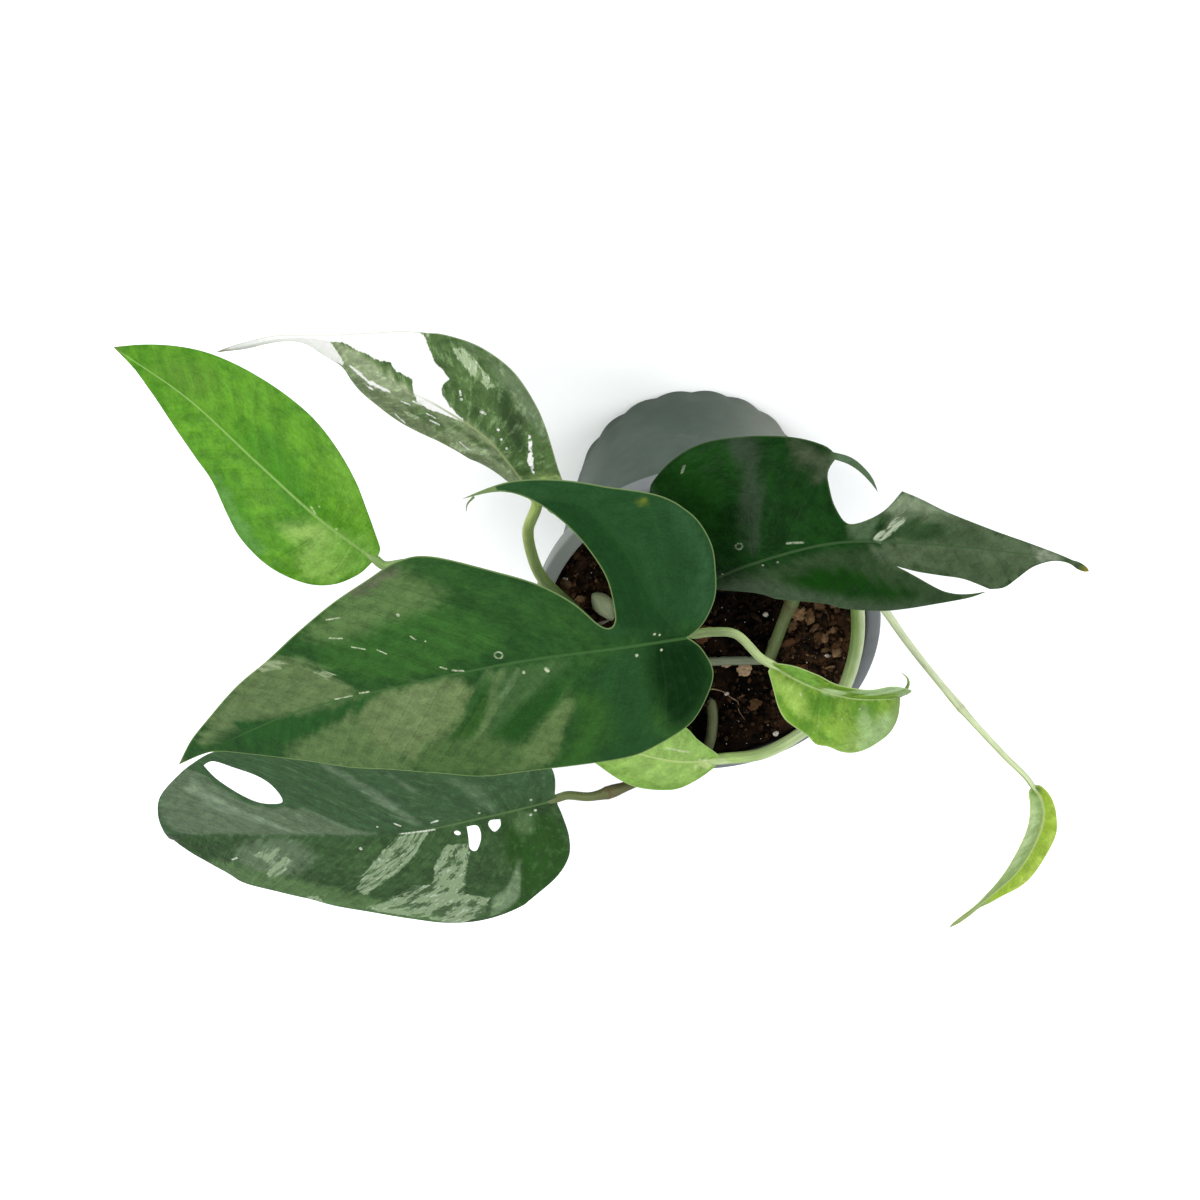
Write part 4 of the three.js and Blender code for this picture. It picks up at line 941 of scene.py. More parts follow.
def blade_material(name, look, length, under):
    """One face of a leaf: marbled greens under its listed tones, crisp patches, ribs and details."""
    g = Graph(name + ("_under" if under else "_upper"))
    skin = blade_fields(g)
    colour = blade_greens(g, skin, look)
    colour = blade_patches(g, skin, look, colour)
    colour, relief = blade_ribs(g, skin, look, length, under, colour)
    colour = blade_details(g, skin, look, length, colour)
    if under:
        colour = g.mix(0.42, colour, srgb(150, 172, 122))
    cells = {"Vector": skin.place, "Scale": 1.6}
    tissue = g.node("TexVoronoi", cells, feature="DISTANCE_TO_EDGE").outputs[0]
    rough = g.step(skin.mottle, 0.3, 0.7, 0.5 if under else 0.4, 0.62 if under else 0.52)
    normal = g.bump(relief, 0.00022)
    normal = g.bump(g.noise(skin.place, 0.32, 3.0, 0.5), 0.0009, normal)
    normal = g.bump(tissue, 0.00003, normal)
    return g.finish(colour, rough, normal, look["gloss"])


def stem_material():
    """Smooth green stems: their own tint with a painted highlight on one flank, fine lengthwise stripes, pale
    pores and brown scars.
    """
    g = Graph("stem_skin")
    tint = g.attribute("tint", "Color")
    along, angle, scar = g.parts(g.attribute("place"))
    place = g.vector(g.times(along, 0.35), g.times(angle, 2.2), 0.0)
    stripes = g.noise(g.vector(g.times(along, 0.06), g.times(angle, 3.0), 2.0), 1.0, 4.0, 0.6)
    pores = g.step(g.noise(place, 2.2, 2.0, 0.5), 0.66, 0.73)
    patches = g.noise(place, 0.5)
    shade = g.add(g.step(stripes, 0.3, 0.7, 0.86, 1.14), g.step(patches, 0.3, 0.7, 0.08, -0.1))
    colour = g.shade(tint, shade)
    colour = g.mix(g.times(pores, 0.3), colour, srgb(206, 214, 170))
    colour = g.mix(scar, colour, g.mix(patches, srgb(70, 52, 32), srgb(126, 100, 66)))
    rough = g.step(patches, 0.3, 0.7, 0.4, 0.56)
    normal = g.bump(stripes, 0.00025)
    normal = g.bump(pores, 0.00005, normal)
    return g.finish(colour, rough, normal, 0.15)


def pot_material():
    """Moulded grey plastic: faint flow marks, dust and stains, a fine pitted skin, and the inside of the
    mouth dark brown just above the soil. Painted light makes the body lighter on the +X side and the rim
    lighter on the -X side."""
    g = Graph("pot_plastic")
    place = g.place()
    x, y, z = g.parts(place)
    flow = g.noise(g.vector(x, y, g.times(z, 0.12)), 60.0, 4.0, 0.6)
    dust = g.noise(place, 90.0, 8.0, 0.7)
    stain = g.noise(place, 24.0, 4.0, 0.6)
    body = g.mix(g.step(flow, 0.3, 0.7), srgb(62, 81, 67), srgb(71, 89, 75))
    # painted light: the body lighter on the +X side
    body = g.mix(g.step(x, 0.0, 0.035), body, srgb(111, 118, 105))
    rim = g.mix(g.step(flow, 0.3, 0.7), srgb(124, 128, 130), srgb(134, 138, 140))
    # painted light on the -X side of the rim, against the shade of the leaves over it
    rim = g.mix(g.step(x, -0.02, -0.045), rim, srgb(146, 152, 146))
    colour = g.mix(g.step(z, 0.0865, 0.0885), body, rim)
    colour = g.mix(g.step(dust, 0.58, 0.74, 0.0, 0.25), colour, srgb(122, 130, 116))
    colour = g.mix(g.step(stain, 0.56, 0.75, 0.0, 0.2), colour, srgb(66, 76, 66))
    radius = g.math("SQRT", g.add(g.times(x, x), g.times(y, y)))
    # the inside of the mouth just above the soil, dark brown
    dark_bore = g.step(g.add(radius, g.times(dust, 0.0004)), 0.0554, 0.0551)
    dark_bore = g.times(g.times(dark_bore, g.step(z, 0.0966, 0.0952)), g.step(z, 0.086, 0.088))
    colour = g.mix(dark_bore, colour, srgb(20, 15, 10))
    rough = g.step(stain, 0.3, 0.7, 0.42, 0.56)
    normal = g.bump(g.noise(place, 1400.0, 2.0, 0.5), 0.00005)
    normal = g.bump(flow, 0.00012, normal)
    return g.finish(colour, rough, normal, 0.12)


def soil_material():
    """Moist peat: each crumb's own tint, broken by finer dark and light grain."""
    g = Graph("soil_mix")
    tint = g.attribute("tint", "Color")
    place = g.place()
    grit = g.noise(place, 900.0, 6.0, 0.7)
    fibre = g.noise(place, 260.0, 5.0, 0.65)
    shade = g.add(g.step(grit, 0.3, 0.7, 1.3, 0.6), g.step(fibre, 0.35, 0.7, -0.15, 0.35))
    rough = g.step(fibre, 0.3, 0.7, 0.7, 0.95)
    normal = g.bump(grit, 0.0006)
    normal = g.bump(fibre, 0.0009, normal)
    return g.finish(g.shade(tint, shade), rough, normal, 0.03)


def floor_material():
    """Pale matt backdrop paper with the faintest mottle."""
    g = Graph("floor_paper")
    mottle = g.noise(g.place(), 40.0, 3.0, 0.5)
    colour = g.mix(g.step(mottle, 0.3, 0.7), (0.93, 0.935, 0.935, 1.0), (0.95, 0.955, 0.955, 1.0))
    return g.finish(colour, 0.9, g.bump(mottle, 0.0001), 0.1)


def make_mesh(name, points, faces, materials, attributes=None, face_material=None, sharp=50.0):
    """A mesh object from points in millimetres, smooth but for edges sharper than a limit."""
    mesh = bpy.data.meshes.new(name)
    mesh.from_pydata((np.asarray(points) * MM).tolist(), [], [list(map(int, face)) for face in faces])
    for key, values in (attributes or {}).items():
        kind, field = ("FLOAT_COLOR", "color") if values.shape[1] == 4 else ("FLOAT_VECTOR", "vector")
        layer = mesh.attributes.new(key, kind, "POINT")
        layer.data.foreach_set(field, values.astype(np.float32).ravel())
    for material in materials:
        mesh.materials.append(material)
    if face_material is not None:
        mesh.polygons.foreach_set("material_index", np.asarray(face_material, np.int32))
    mesh.polygons.foreach_set("use_smooth", np.ones(len(mesh.polygons), bool))
    mesh.set_sharp_from_angle(angle=math.radians(sharp))
    mesh.validate()
    piece = bpy.data.objects.new(name, mesh)
    bpy.context.scene.collection.objects.link(piece)
    return piece


def add_piece(piece, node):
    """Hands a finished piece over and the one solid whose place it takes."""
    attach(piece, "root")
    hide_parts(node)


def join(parts):
    """Several meshes as one. Each part is its points, its faces and further values for each point."""
    points, faces, *values = zip(*parts)
    starts = np.cumsum([0] + [len(part) for part in points])
    faces = [tuple(int(first + i) for i in face) for first, part in zip(starts, faces) for face in part]
    return np.vstack(points), faces, *(np.vstack(value) for value in values)


def band_faces(rows, sides, first=0, turned=False):
    """The four-sided faces between rings of points that follow one another."""
    faces = []
    for row in range(rows - 1):
        for k in range(sides):
            a = first + row * sides + k
            b = first + row * sides + (k + 1) % sides
            faces.append((a, a + sides, b + sides, b) if turned else (a, b, b + sides, a + sides))
    return faces


def curve_piece(start, end, leave, arrive):
    """Points from one end of a smooth stretch towards the other, given how it leaves and arrives."""
    t = np.linspace(0, 1, CURVE_STEPS, endpoint=False)[:, None]
    bend = 3 * (end - start) - 2 * leave - arrive
    twist = 2 * (start - end) + leave + arrive
    return start + leave * t + bend * t**2 + twist * t**3


def knot_gap(a, b):
    """The share of a centripetal curve that one stretch takes: the root of its length."""
    return max(np.linalg.norm(b - a) ** 0.5, LEAST_GAP)


def smooth_path(points):
    """Points close together on the centripetal curve through a few points in space."""
    points = np.asarray(points, float)
    path = []
    for i in range(len(points) - 1):
        p1, p2 = points[i], points[i + 1]
        p0 = points[i - 1] if i else 2 * p1 - p2
        p3 = points[i + 2] if i + 2 < len(points) else 2 * p2 - p1
        d0, d1, d2 = knot_gap(p0, p1), knot_gap(p1, p2), knot_gap(p2, p3)
        leave = ((p1 - p0) / d0 - (p2 - p0) / (d0 + d1) + (p2 - p1) / d1) * d1
        arrive = ((p2 - p1) / d1 - (p3 - p1) / (d1 + d2) + (p3 - p2) / d2) * d1
        path.append(curve_piece(p1, p2, leave, arrive))
    return np.vstack([*path, points[-1:]])


def distances(path):
    """How far along a path each of its points lies."""
    return np.concatenate([[0], np.cumsum(np.linalg.norm(np.diff(path, axis=0), axis=1))])


def look_up(distance, reach, values):
    """The values at some distances, in between those that are given at reach."""
    return np.stack([np.interp(distance, reach, values[:, k]) for k in range(values.shape[1])], -1)


class Track:
    """A path in space, looked up by the distance along it. It runs on straight beyond its ends."""

    def __init__(self, path):
        self.path = path
        self.reach = distances(path)
        self.length = self.reach[-1]
        ahead = np.gradient(path, self.reach, axis=0)
        self.ahead = ahead / np.linalg.norm(ahead, axis=1, keepdims=True)

    def look(self, distance):
        held = np.clip(distance, 0, self.length)
        at = look_up(held, self.reach, self.path)
        ahead = look_up(held, self.reach, self.ahead)
        ahead /= np.linalg.norm(ahead, axis=-1, keepdims=True)
        return at + (distance - held)[..., None] * ahead, ahead


def outline_points(stretches, step):
    """Points a step apart round an outline of smooth stretches, with a corner where two meet."""
    ring = []
    for stretch in stretches:
        points = np.asarray(stretch, float)
        padded = np.vstack([points[:1], points, points[-1:]])
        dense = []
        for p0, p1, p2, p3 in zip(padded, padded[1:], padded[2:], padded[3:]):
            dense.append(curve_piece(p1, p2, (p2 - p0) / 2, (p3 - p1) / 2))
        dense = np.vstack([*dense, points[-1:]])
        reach = distances(dense)
        count = max(2, round(reach[-1] / step))
        spots = np.linspace(0, reach[-1], count, endpoint=False)
        ring.append(look_up(spots, reach, dense))
    return np.vstack(ring)


def closed_outline(ring):
    """A closed smooth outline of one stretch, with its only corner at the first point."""
    return [[*ring, ring[0]]]


def rib_path(rib):
    """A side rib's path in the flat layout."""
    return smooth_path([[*p, 0] for p in rib])[:, :2]


def circle(x, y, radius, sides):
    """A ring of points round [x, y]."""
    turn = np.linspace(0, 2 * np.pi, sides, endpoint=False)
    return np.stack([x + radius * np.cos(turn), y + radius * np.sin(turn)], -1)


def distance_to(points, line, closed=True):
    """Each point's distance to a ring or an open line."""
    a = np.asarray(line, float)
    b = np.roll(a, -1, axis=0)
    if not closed:
        a, b = a[:-1], b[:-1]
    span = b - a
    reach = points[:, None, :] - a[None]
    share = np.clip((reach * span).sum(-1) / np.maximum((span**2).sum(-1), 1e-12), 0, 1)
    return np.linalg.norm(reach - share[..., None] * span, axis=-1).min(1)


def inside(points, rings):
    """Whether each point is within the rings, where a ring inside another is a hole."""
    odd = np.zeros(len(points), bool)
    for ring in rings:
        a = np.asarray(ring, float)
        b = np.roll(a, -1, axis=0)
        x, y = points[:, :1], points[:, 1:]
        spans = (a[None, :, 1] > y) != (b[None, :, 1] > y)
        rise = np.where(b[:, 1] == a[:, 1], 1e-12, b[:, 1] - a[:, 1])
        crossing = a[:, 0] + (b[:, 0] - a[:, 0]) * (y - a[:, 1]) / rise
        odd ^= (spans & (x < crossing)).sum(1) % 2 == 1
    return odd


def signed_field(points, rings, limit=MARK_REACH):
    """How far inside the nearest of some rings a point is, in millimetres; negative outside."""
    field = np.full(len(points), -limit)
    for ring in rings:
        reach = distance_to(points, ring)
        field = np.maximum(field, np.where(inside(points, [ring]), reach, -reach))
    return np.clip(field, -limit, limit)


def smoothstep(value, low, high):
    """Smoothly from 0 to 1 as value goes from low to high."""
    share = np.clip((value - low) / (high - low), 0, 1)
    return share * share * (3 - 2 * share)


def triangulate(rings, extra, lines=()):
    """Even triangles over the ground within the rings, through the extra points and along the lines."""
    points, edges = [], []
    for ring in rings:
        first = len(points)
        points.extend(ring.tolist())
        edges.extend((first + i, first + (i + 1) % len(ring)) for i in range(len(ring)))
    for line in lines:
        first = len(points)
        points.extend(line.tolist())
        edges.extend((first + i, first + i + 1) for i in range(len(line) - 1))
    points.extend(extra.tolist())
    made = delaunay_2d_cdt([Vector(p) for p in points], edges, [], 1, 1e-5, False)
    spots = np.array([list(v) for v in made[0]])
    faces = np.array([f for f in made[2] if len(f) == 3])
    middle = spots[faces].mean(1)
    faces = faces[inside(middle, rings)]
    a, b, c = (spots[faces[:, k]] for k in range(3))
    turn = (b[:, 0] - a[:, 0]) * (c[:, 1] - a[:, 1]) - (b[:, 1] - a[:, 1]) * (c[:, 0] - a[:, 0])
    faces[turn < 0] = faces[turn < 0][:, ::-1]
    return spots, faces


def open_edges(faces):
    """The directed edges that only one triangle has."""
    edges = np.vstack([faces[:, [0, 1]], faces[:, [1, 2]], faces[:, [2, 0]]])
    seen = {tuple(edge) for edge in edges.tolist()}
    return [edge for edge in seen if (edge[1], edge[0]) not in seen]


def vein_place(along, out):
    """Where on the midrib the side vein through each point starts: the veins lean towards the tip, bow
    forward as they go out, and turn back into the lobes near the base."""
    low, high = (np.full_like(along, limit) for limit in VEIN_LIMITS)
    for _ in range(VEIN_HALVINGS):
        start = (low + high) / 2
        lean = -0.9 + 1.9 * np.clip((start + 6) / 42, 0, 1)
        beyond = start + lean * out + 0.006 * out**2 > along
        high = np.where(beyond, start, high)
        low = np.where(beyond, low, start)
    return (low + high) / 2


class Blade:
    """A leaf's midrib in space, and how its flat layout folds and curls along it."""

    def __init__(self, leaf):
        self.leaf = leaf
        self.track = Track(smooth_path(leaf["midrib"]))
        self.up = np.array(leaf["up"], float)

    def frame(self, along):
        """The midrib's point, and the ways ahead, up and left there."""
        at, ahead = self.track.look(along)
        normal = self.up - (ahead @ self.up)[:, None] * ahead
        normal /= np.linalg.norm(normal, axis=1, keepdims=True)
        return at, ahead, normal, np.cross(normal, ahead)

    def place(self, along, across, depth):
        """The point at [along, across], a depth under the upper face."""
        at, _, normal, left = self.frame(along)
        right_half = across < 0
        fold = np.radians(np.where(right_half, self.leaf["fold"][1], self.leaf["fold"][0]))
        curl = np.radians(np.where(right_half, self.leaf["curl"][1], self.leaf["curl"][0])) / 10
        curl = np.where(curl == 0, 1e-6, curl)
        out = np.abs(across)
        turn = fold + curl * out
        reach = (np.sin(turn) - np.sin(fold)) / curl
        rise = (np.cos(fold) - np.cos(turn)) / curl
        tilt = turn * np.clip(out / FOLD_EASE, 0, 1)
        side = np.where(right_half, -1.0, 1.0)
        across_by = side * (reach + depth * np.sin(tilt))
        up_by = rise - depth * np.cos(tilt)
        return at + left * across_by[:, None] + normal * up_by[:, None]


def leaf_rings(leaf):
    """A leaf's outline and the edges of its holes, as rings of points."""
    rings = [outline_points(leaf["outline"], MARGIN_STEP)]
    rings += [outline_points(closed_outline(hole), MARGIN_STEP / 2) for hole in leaf.get("holes", [])]
    rings += [circle(x, y, radius, PINHOLE_SIDES) for x, y, radius in leaf.get("pinholes", [])]
    return rings


def even_grid(ring):
    """The points of an even grid of triangles over a ring."""
    low, high = ring.min(0), ring.max(0)
    grid = []
    for row, y in enumerate(np.arange(low[1], high[1], GRID_STEP * math.sqrt(0.75))):
        shift = GRID_STEP / 2 if row % 2 else 0.0
        xs = np.arange(low[0] + shift, high[0], GRID_STEP)
        grid.append(np.stack([xs, np.full_like(xs, y)], -1))
    return np.vstack(grid)


def clear_of(points, rings, least):
    """The points within the rings that are more than the least distance from each of them."""
    keep = inside(points, rings)
    for ring in rings:
        keep &= distance_to(points, ring) > least
    return points[keep]


def blade_layout(leaf, length):
    """A leaf laid out flat in small triangles, with rows of points along its midrib and side ribs and
    round its small marks."""
    rings = leaf_rings(leaf)
    grid = even_grid(rings[0])
    grid = grid[np.abs(grid[:, 1]) > RIB_ROWS[-1] + GRID_STEP / 2]
    xs = np.arange(1.0, length - 0.5, GRID_STEP)
    rows = [np.stack([xs, np.full_like(xs, side * y)], -1) for y in RIB_ROWS for side in (-1, 1)]
    lines = [np.stack([xs, np.zeros_like(xs)], -1)]
    for rib in leaf.get("ribs", []):
        path = rib_path(rib)
        lines.append(path[::RIB_THINNING])
        grid = grid[distance_to(grid, path, closed=False) > GRID_STEP / 2]
    lines = [clear_of(line, rings, LINE_CLEAR) for line in lines]
    extra = np.vstack([clear_of(np.vstack(rows), rings, ROW_CLEAR), clear_of(grid, rings, GRID_CLEAR)])
    for x, y, radius in leaf.get("rings", []):
        extra = extra[np.hypot(extra[:, 0] - x, extra[:, 1] - y) > radius + RING_CLEAR]
        circles = [circle(x, y, radius + wide, RING_SIDES) for wide in (-RING_LINE, 0, RING_LINE)]
        extra = np.vstack([extra, *circles])
    for fleck in leaf.get("flecks", []):
        extra = extra[fleck_reach(extra, fleck) > FLECK_EDGE + FLECK_CLEAR]
        lines = [line[fleck_reach(line, fleck) > FLECK_EDGE + FLECK_CLEAR] for line in lines]
        extra = np.vstack([extra, clear_of(fleck_points(fleck), rings, FLECK_CLEAR)])
    spots, faces = triangulate(rings, extra, lines)
    margin = np.min([distance_to(spots, ring) for ring in rings], axis=0)
    return spots, faces, margin


def fleck_shape(fleck):
    """A fleck's two ends, which are one point for a dot, and its radius."""
    return np.array(fleck[:2], float), np.array(fleck[-3:-1], float), fleck[-1]


def fleck_reach(points, fleck):
    """How far points are outside a fleck: a dot, or a dash between two ends."""
    a, b, radius = fleck_shape(fleck)
    return distance_to(points, [a, b], closed=False) - radius


def fleck_points(fleck):
    """Points for a fleck's own triangles: its middle line, its edge, and a ring where it has faded."""
    a, b, radius = fleck_shape(fleck)
    span = np.linalg.norm(b - a)
    ahead = (b - a) / span if span else np.array([1.0, 0.0])
    side = np.array([-ahead[1], ahead[0]])
    steps = np.linspace(0, 1, max(2, math.ceil(span / FLECK_STEP) + 1)) if span else np.zeros(1)
    middle = a + (b - a) * steps[:, None]
    rows = [middle]
    for reach in (radius, radius + FLECK_EDGE):
        turn = np.linspace(-np.pi / 2, np.pi / 2, CAP_POINTS)[:, None]
        cap = reach * (np.cos(turn) * ahead + np.sin(turn) * side)
        rows += [b + cap, a - cap, middle + reach * side, middle - reach * side]
    return np.unique(np.round(np.vstack(rows), 3), axis=0)


def near_flecks(points, flecks):
    """1 within the flecks, falling to 0 over a thin edge."""
    share = np.zeros(len(points))
    for fleck in flecks:
        share = np.maximum(share, np.clip(1 - fleck_reach(points, fleck) / FLECK_EDGE, 0, 1))
    return share


def near_rings(points, rings):
    """1 on the lines of thin rings, falling to 0 on either side."""
    share = np.zeros(len(points))
    for x, y, radius in rings:
        reach = np.abs(np.hypot(points[:, 0] - x, points[:, 1] - y) - radius)
        share = np.maximum(share, np.clip(1 - reach / RING_LINE, 0, 1))
    return share


def near_spots(points, spots):
    """1 within small round spots, falling to 0 over a soft edge."""
    share = np.zeros(len(points))
    for x, y, radius in spots:
        reach = np.hypot(points[:, 0] - x, points[:, 1] - y)
        share = np.maximum(share, np.clip((radius + SPOT_EDGE - reach) / (2 * SPOT_EDGE), 0, 1))
    return share


def near_ribs(points, ribs):
    """Each point's distance to the nearest side rib, up to a limit."""
    reach = np.full(len(points), MARK_REACH)
    for rib in ribs:
        reach = np.minimum(reach, distance_to(points, rib_path(rib), closed=False))
    return reach


def hand_tones(leaf, points, start, out):
    """Each point's listed colour, and how far that covers the leaf's own greens. The edges run along
    the side veins in streaks."""
    streak = np.array([noise.noise(Vector((s * 0.35, o * 0.09, 5.0))) for s, o in zip(start, out)])
    colour, cover = np.zeros((len(points), 3)), np.zeros(len(points))
    for paint, feather, ring in leaf.get("tones", []):
        edge = outline_points(closed_outline(ring), MARGIN_STEP)
        depth = signed_field(points, [edge], feather + TONE_REACH) + streak * min(feather, STREAK_LIMIT)
        share = smoothstep(depth / feather + 0.5, 0, 1)
        colour = colour * (1 - share[:, None]) + np.array(srgb(*paint)[:3]) * share[:, None]
        cover = cover * (1 - share) + share
    colour = colour / np.maximum(cover, 1e-4)[:, None]
    return np.column_stack([colour, cover])


def blade_depths(along, out, start, margin, ribs, length):
    """How deep both faces lie: grooved or ridged along the ribs, raised between the side veins, and
    rounded at the margin."""
    taper = np.clip(1 - along / length, 0, 1)
    near_edge = np.clip(1 - margin / ROUND_WIDTH, 0, 1)
    fade = np.clip((out - 1.5) / 4, 0, 1) * np.clip(margin / 5, 0, 1)
    wave = np.cos(2 * np.pi * start / VEIN_STEP)
    pillow = PILLOW * fade * wave / 2
    groove = GROOVE * (0.35 + 0.65 * taper) * np.exp(-((out / GROOVE_WIDTH) ** 2))
    groove = np.maximum(groove, SIDE_GROOVE * np.exp(-((ribs / GROOVE_WIDTH) ** 2)))
    ridge = RIDGE * taper * np.cos(np.pi / 2 * np.clip(out / RIDGE_HALF_WIDTH, 0, 1)) ** 1.5
    upper = UPPER_DEPTH + groove + pillow + ROUND_EDGE * near_edge
    under = UNDER_DEPTH + ridge + pillow - ROUND_EDGE * near_edge
    return upper, under


def add_wisp(leaf, spots, points, faces, attributes):
    """Adds the thin thread in which a curled tip ends. It wears what the tip does."""
    tip = np.abs(spots - leaf["outline"][0][-1]).sum(1).argmin()
    wisp_points, wisp_faces, _, _ = tube(leaf["wisp"], tapered(leaf["wisp_radius"]), WISP_SIDES, WISP_STEP)
    faces += [tuple(len(points) + i for i in face) for face in wisp_faces]
    for key, values in attributes.items():
        attributes[key] = np.vstack([values, np.tile(values[tip], (len(wisp_points), 1))])
    return np.vstack([points, wisp_points])


def build_leaf(name):
    """One leaf: its flat layout placed twice, for the upper and the under face, with a wall between."""
    leaf, look = LEAVES[name], LOOKS[name]
    blade = Blade(leaf)
    length = max(point[0] for stretch in leaf["outline"] for point in stretch)
    spots, layout_faces, margin = blade_layout(leaf, length)
    along, across = spots[:, 0], spots[:, 1]
    out = np.abs(across)
    start = vein_place(along, out)
    ribs = near_ribs(spots, leaf.get("ribs", []))
    depths = blade_depths(along, out, start, margin, ribs, length)
    points = np.vstack([blade.place(along, across, depth) for depth in depths])

    white, pale = (signed_field(spots, leaf.get(kind, [])) for kind in ("white", "pale"))
    flecks = near_flecks(spots, leaf.get("flecks", []))
    pale_rings = near_rings(spots, leaf.get("rings", []))
    yellow = near_spots(spots, leaf.get("spots", []))
    halves = np.where(across < 0, HALVES_APART, 0.0)
    attributes = {
        "place": np.stack([along, across, margin], -1),
        "veins": np.stack([start, out, halves], -1),
        "marks": np.stack([white, pale, ribs], -1),
        "details": np.stack([flecks, pale_rings, yellow], -1),
        "tone": hand_tones(leaf, spots, start, out),
    }
    attributes = {key: np.vstack([values, values]) for key, values in attributes.items()}

    count = len(spots)
    walls = [(b, a, count + a, count + b) for a, b in open_edges(layout_faces)]
    faces = [*layout_faces.tolist(), *(layout_faces[:, ::-1] + count).tolist(), *walls]
    if "wisp" in leaf:
        points = add_wisp(leaf, spots, points, faces, attributes)
    materials = [blade_material(name, look, length, under) for under in (False, True)]
    face_material = np.zeros(len(faces))
    face_material[len(layout_faces) : 2 * len(layout_faces)] = 1
    piece = make_mesh(name + "_blade", points, faces, materials, attributes, face_material)
    add_piece(piece, name)


def limb_points(limb):
    """A limb's path, run on into the midrib of the leaf that it carries."""
    points = [list(p) for p in limb["points"]]
    if "leaf" not in limb:
        return points
    blade = Blade(LEAVES[limb["leaf"]])
    at, ahead, normal, _ = (v[0] for v in blade.frame(np.zeros(1)))
    steps = JOINTS[limb.get("joint", "straight")]
    return points + [(at + ahead * along - normal * below).tolist() for along, below in steps]


def tapered(radius):
    """A tube's radius that thins out towards its end."""
    return lambda share, angles: np.full_like(angles, radius * (1 - THINNING * share))


def tube(points, radius_of, sides, step):
    """A round tube along a path: its points, faces, each point's [along, angle, share], and the way out
    from the path at each point."""
    track = Track(smooth_path(points))
    count = max(4, math.ceil(track.length / step))
    spots = np.linspace(0, track.length, count + 1)
    at, ahead = track.look(spots)
    normal = np.cross(ahead[0], [0.3, 0.2, 1.0])
    angles = np.linspace(0, 2 * np.pi, sides, endpoint=False)
    vertices, places, spokes = [], [], []
    for i in range(count + 1):
        normal = normal - (normal @ ahead[i]) * ahead[i]
        normal /= np.linalg.norm(normal)
        side = np.cross(ahead[i], normal)
        share = spots[i] / track.length
        spoke = np.cos(angles)[:, None] * normal + np.sin(angles)[:, None] * side
        vertices.append(at[i] + radius_of(share, angles)[:, None] * spoke)
        places.append(np.stack([np.full(sides, spots[i]), angles, np.full(sides, share)], -1))
        spokes.append(spoke)
    last = count * sides
    ends = [tuple(range(sides))[::-1], tuple(range(last, last + sides))]
    faces = band_faces(count + 1, sides) + ends
    return np.vstack(vertices), faces, np.vstack(places), np.vstack(spokes)


def limb_radius(limb):
    """The limb's radius by share and angle: tapered, swollen in places, with a shallow groove on top
    between two low wings. A swelling without a width of its own is a node, and has a thin ring beyond."""
    foot, end = limb["radius"]
    ring_height, ring_beyond, ring_width = NODE_RING

    def radius(share, angles):
        size = foot + (end - foot) * share
        for where, extra, *width in limb.get("swell", []):
            size += extra * math.exp(-(((share - where) / (width or [NODE_WIDTH])[0]) ** 2))
            if not width:
                size += ring_height * math.exp(-(((share - where - ring_beyond) / ring_width) ** 2))
        if "leaf" in limb:
            size *= 1 - NARROWED_BY * max(0.0, (share - NARROWED_FROM) / NARROWED_OVER) ** 2
        if limb.get("rounded"):
            size *= math.sqrt(max(0.01, 1 - max(0.0, (share - ROUNDED_FROM) / (1 - ROUNDED_FROM)) ** 2))
        from_top = np.abs(angles - np.pi / 2)
        groove = TOP_GROOVE * np.exp(-((from_top / TOP_GROOVE_WIDTH) ** 2))
        wing = TOP_WING * np.exp(-(((from_top - TOP_WING_AT) / TOP_WING_WIDTH) ** 2))
        return size * (1 - groove + wing)

    return radius


def limb_tint(limb, share, spokes):
    """Each point's colour on a limb: blended along it, with a painted highlight on the flank that faces one
    way.
    """
    stops, paints = zip(*limb["tint"])
    tint = look_up(share, stops, np.array([srgb(*paint) for paint in paints]))
    # painted highlight: its colour, and the way that the lit flank faces
    paint, side = limb["painted_highlight"]
    facing = spokes @ (np.array(side) / np.linalg.norm(side))
    light = 0.75 * np.clip((facing - 0.2) / 0.6, 0, 1)[:, None]
    return tint * (1 - light) + np.array(srgb(*paint)) * light


def limb_scars(limb, along, share):
    """How brown each point of a limb is: a thin scar beyond each node, and a fainter one over it."""
    scar = np.zeros(len(share))
    for where, _, *width in limb.get("swell", []):
        if not width:
            offset = (share - where) * along.max()
            for strength, beyond, spread in SCARS:
                scar = np.maximum(scar, strength * np.exp(-(((offset - beyond) / spread) ** 2)))
    return scar * limb.get("scar", 1.0)


def limb_skin(limb):
    """A limb's points and faces, with each point's [along, angle, scar] and tint."""
    points, faces, places, spokes = tube(limb_points(limb), limb_radius(limb), STEM_SIDES, STEM_STEP)
    along, angle, share = places.T
    places = np.stack([along, angle, limb_scars(limb, along, share)], -1)
    return points, faces, places, limb_tint(limb, share, spokes)


def build_stem(name, material):
    """A petiole, the vine or the bud, with all its limbs in one piece."""
    points, faces, places, tints = join([limb_skin(limb) for limb in STEMS[name]])
    piece = make_mesh(name + "_skin", points, faces, [material], {"place": places, "tint": tints})
    add_piece(piece, name)


def wall_radius(z):
    """The wall's outer radius at a height."""
    return BASE_RADIUS + (MOUTH_RADIUS + POT_WALL - BASE_RADIUS) * z / POT_HEIGHT


def bore_radius(z):
    """The wall's inner radius at a height."""
    low = BASE_RADIUS - POT_WALL - SCALLOP_DEPTH
    return low + (MOUTH_RADIUS - low) * z / POT_HEIGHT


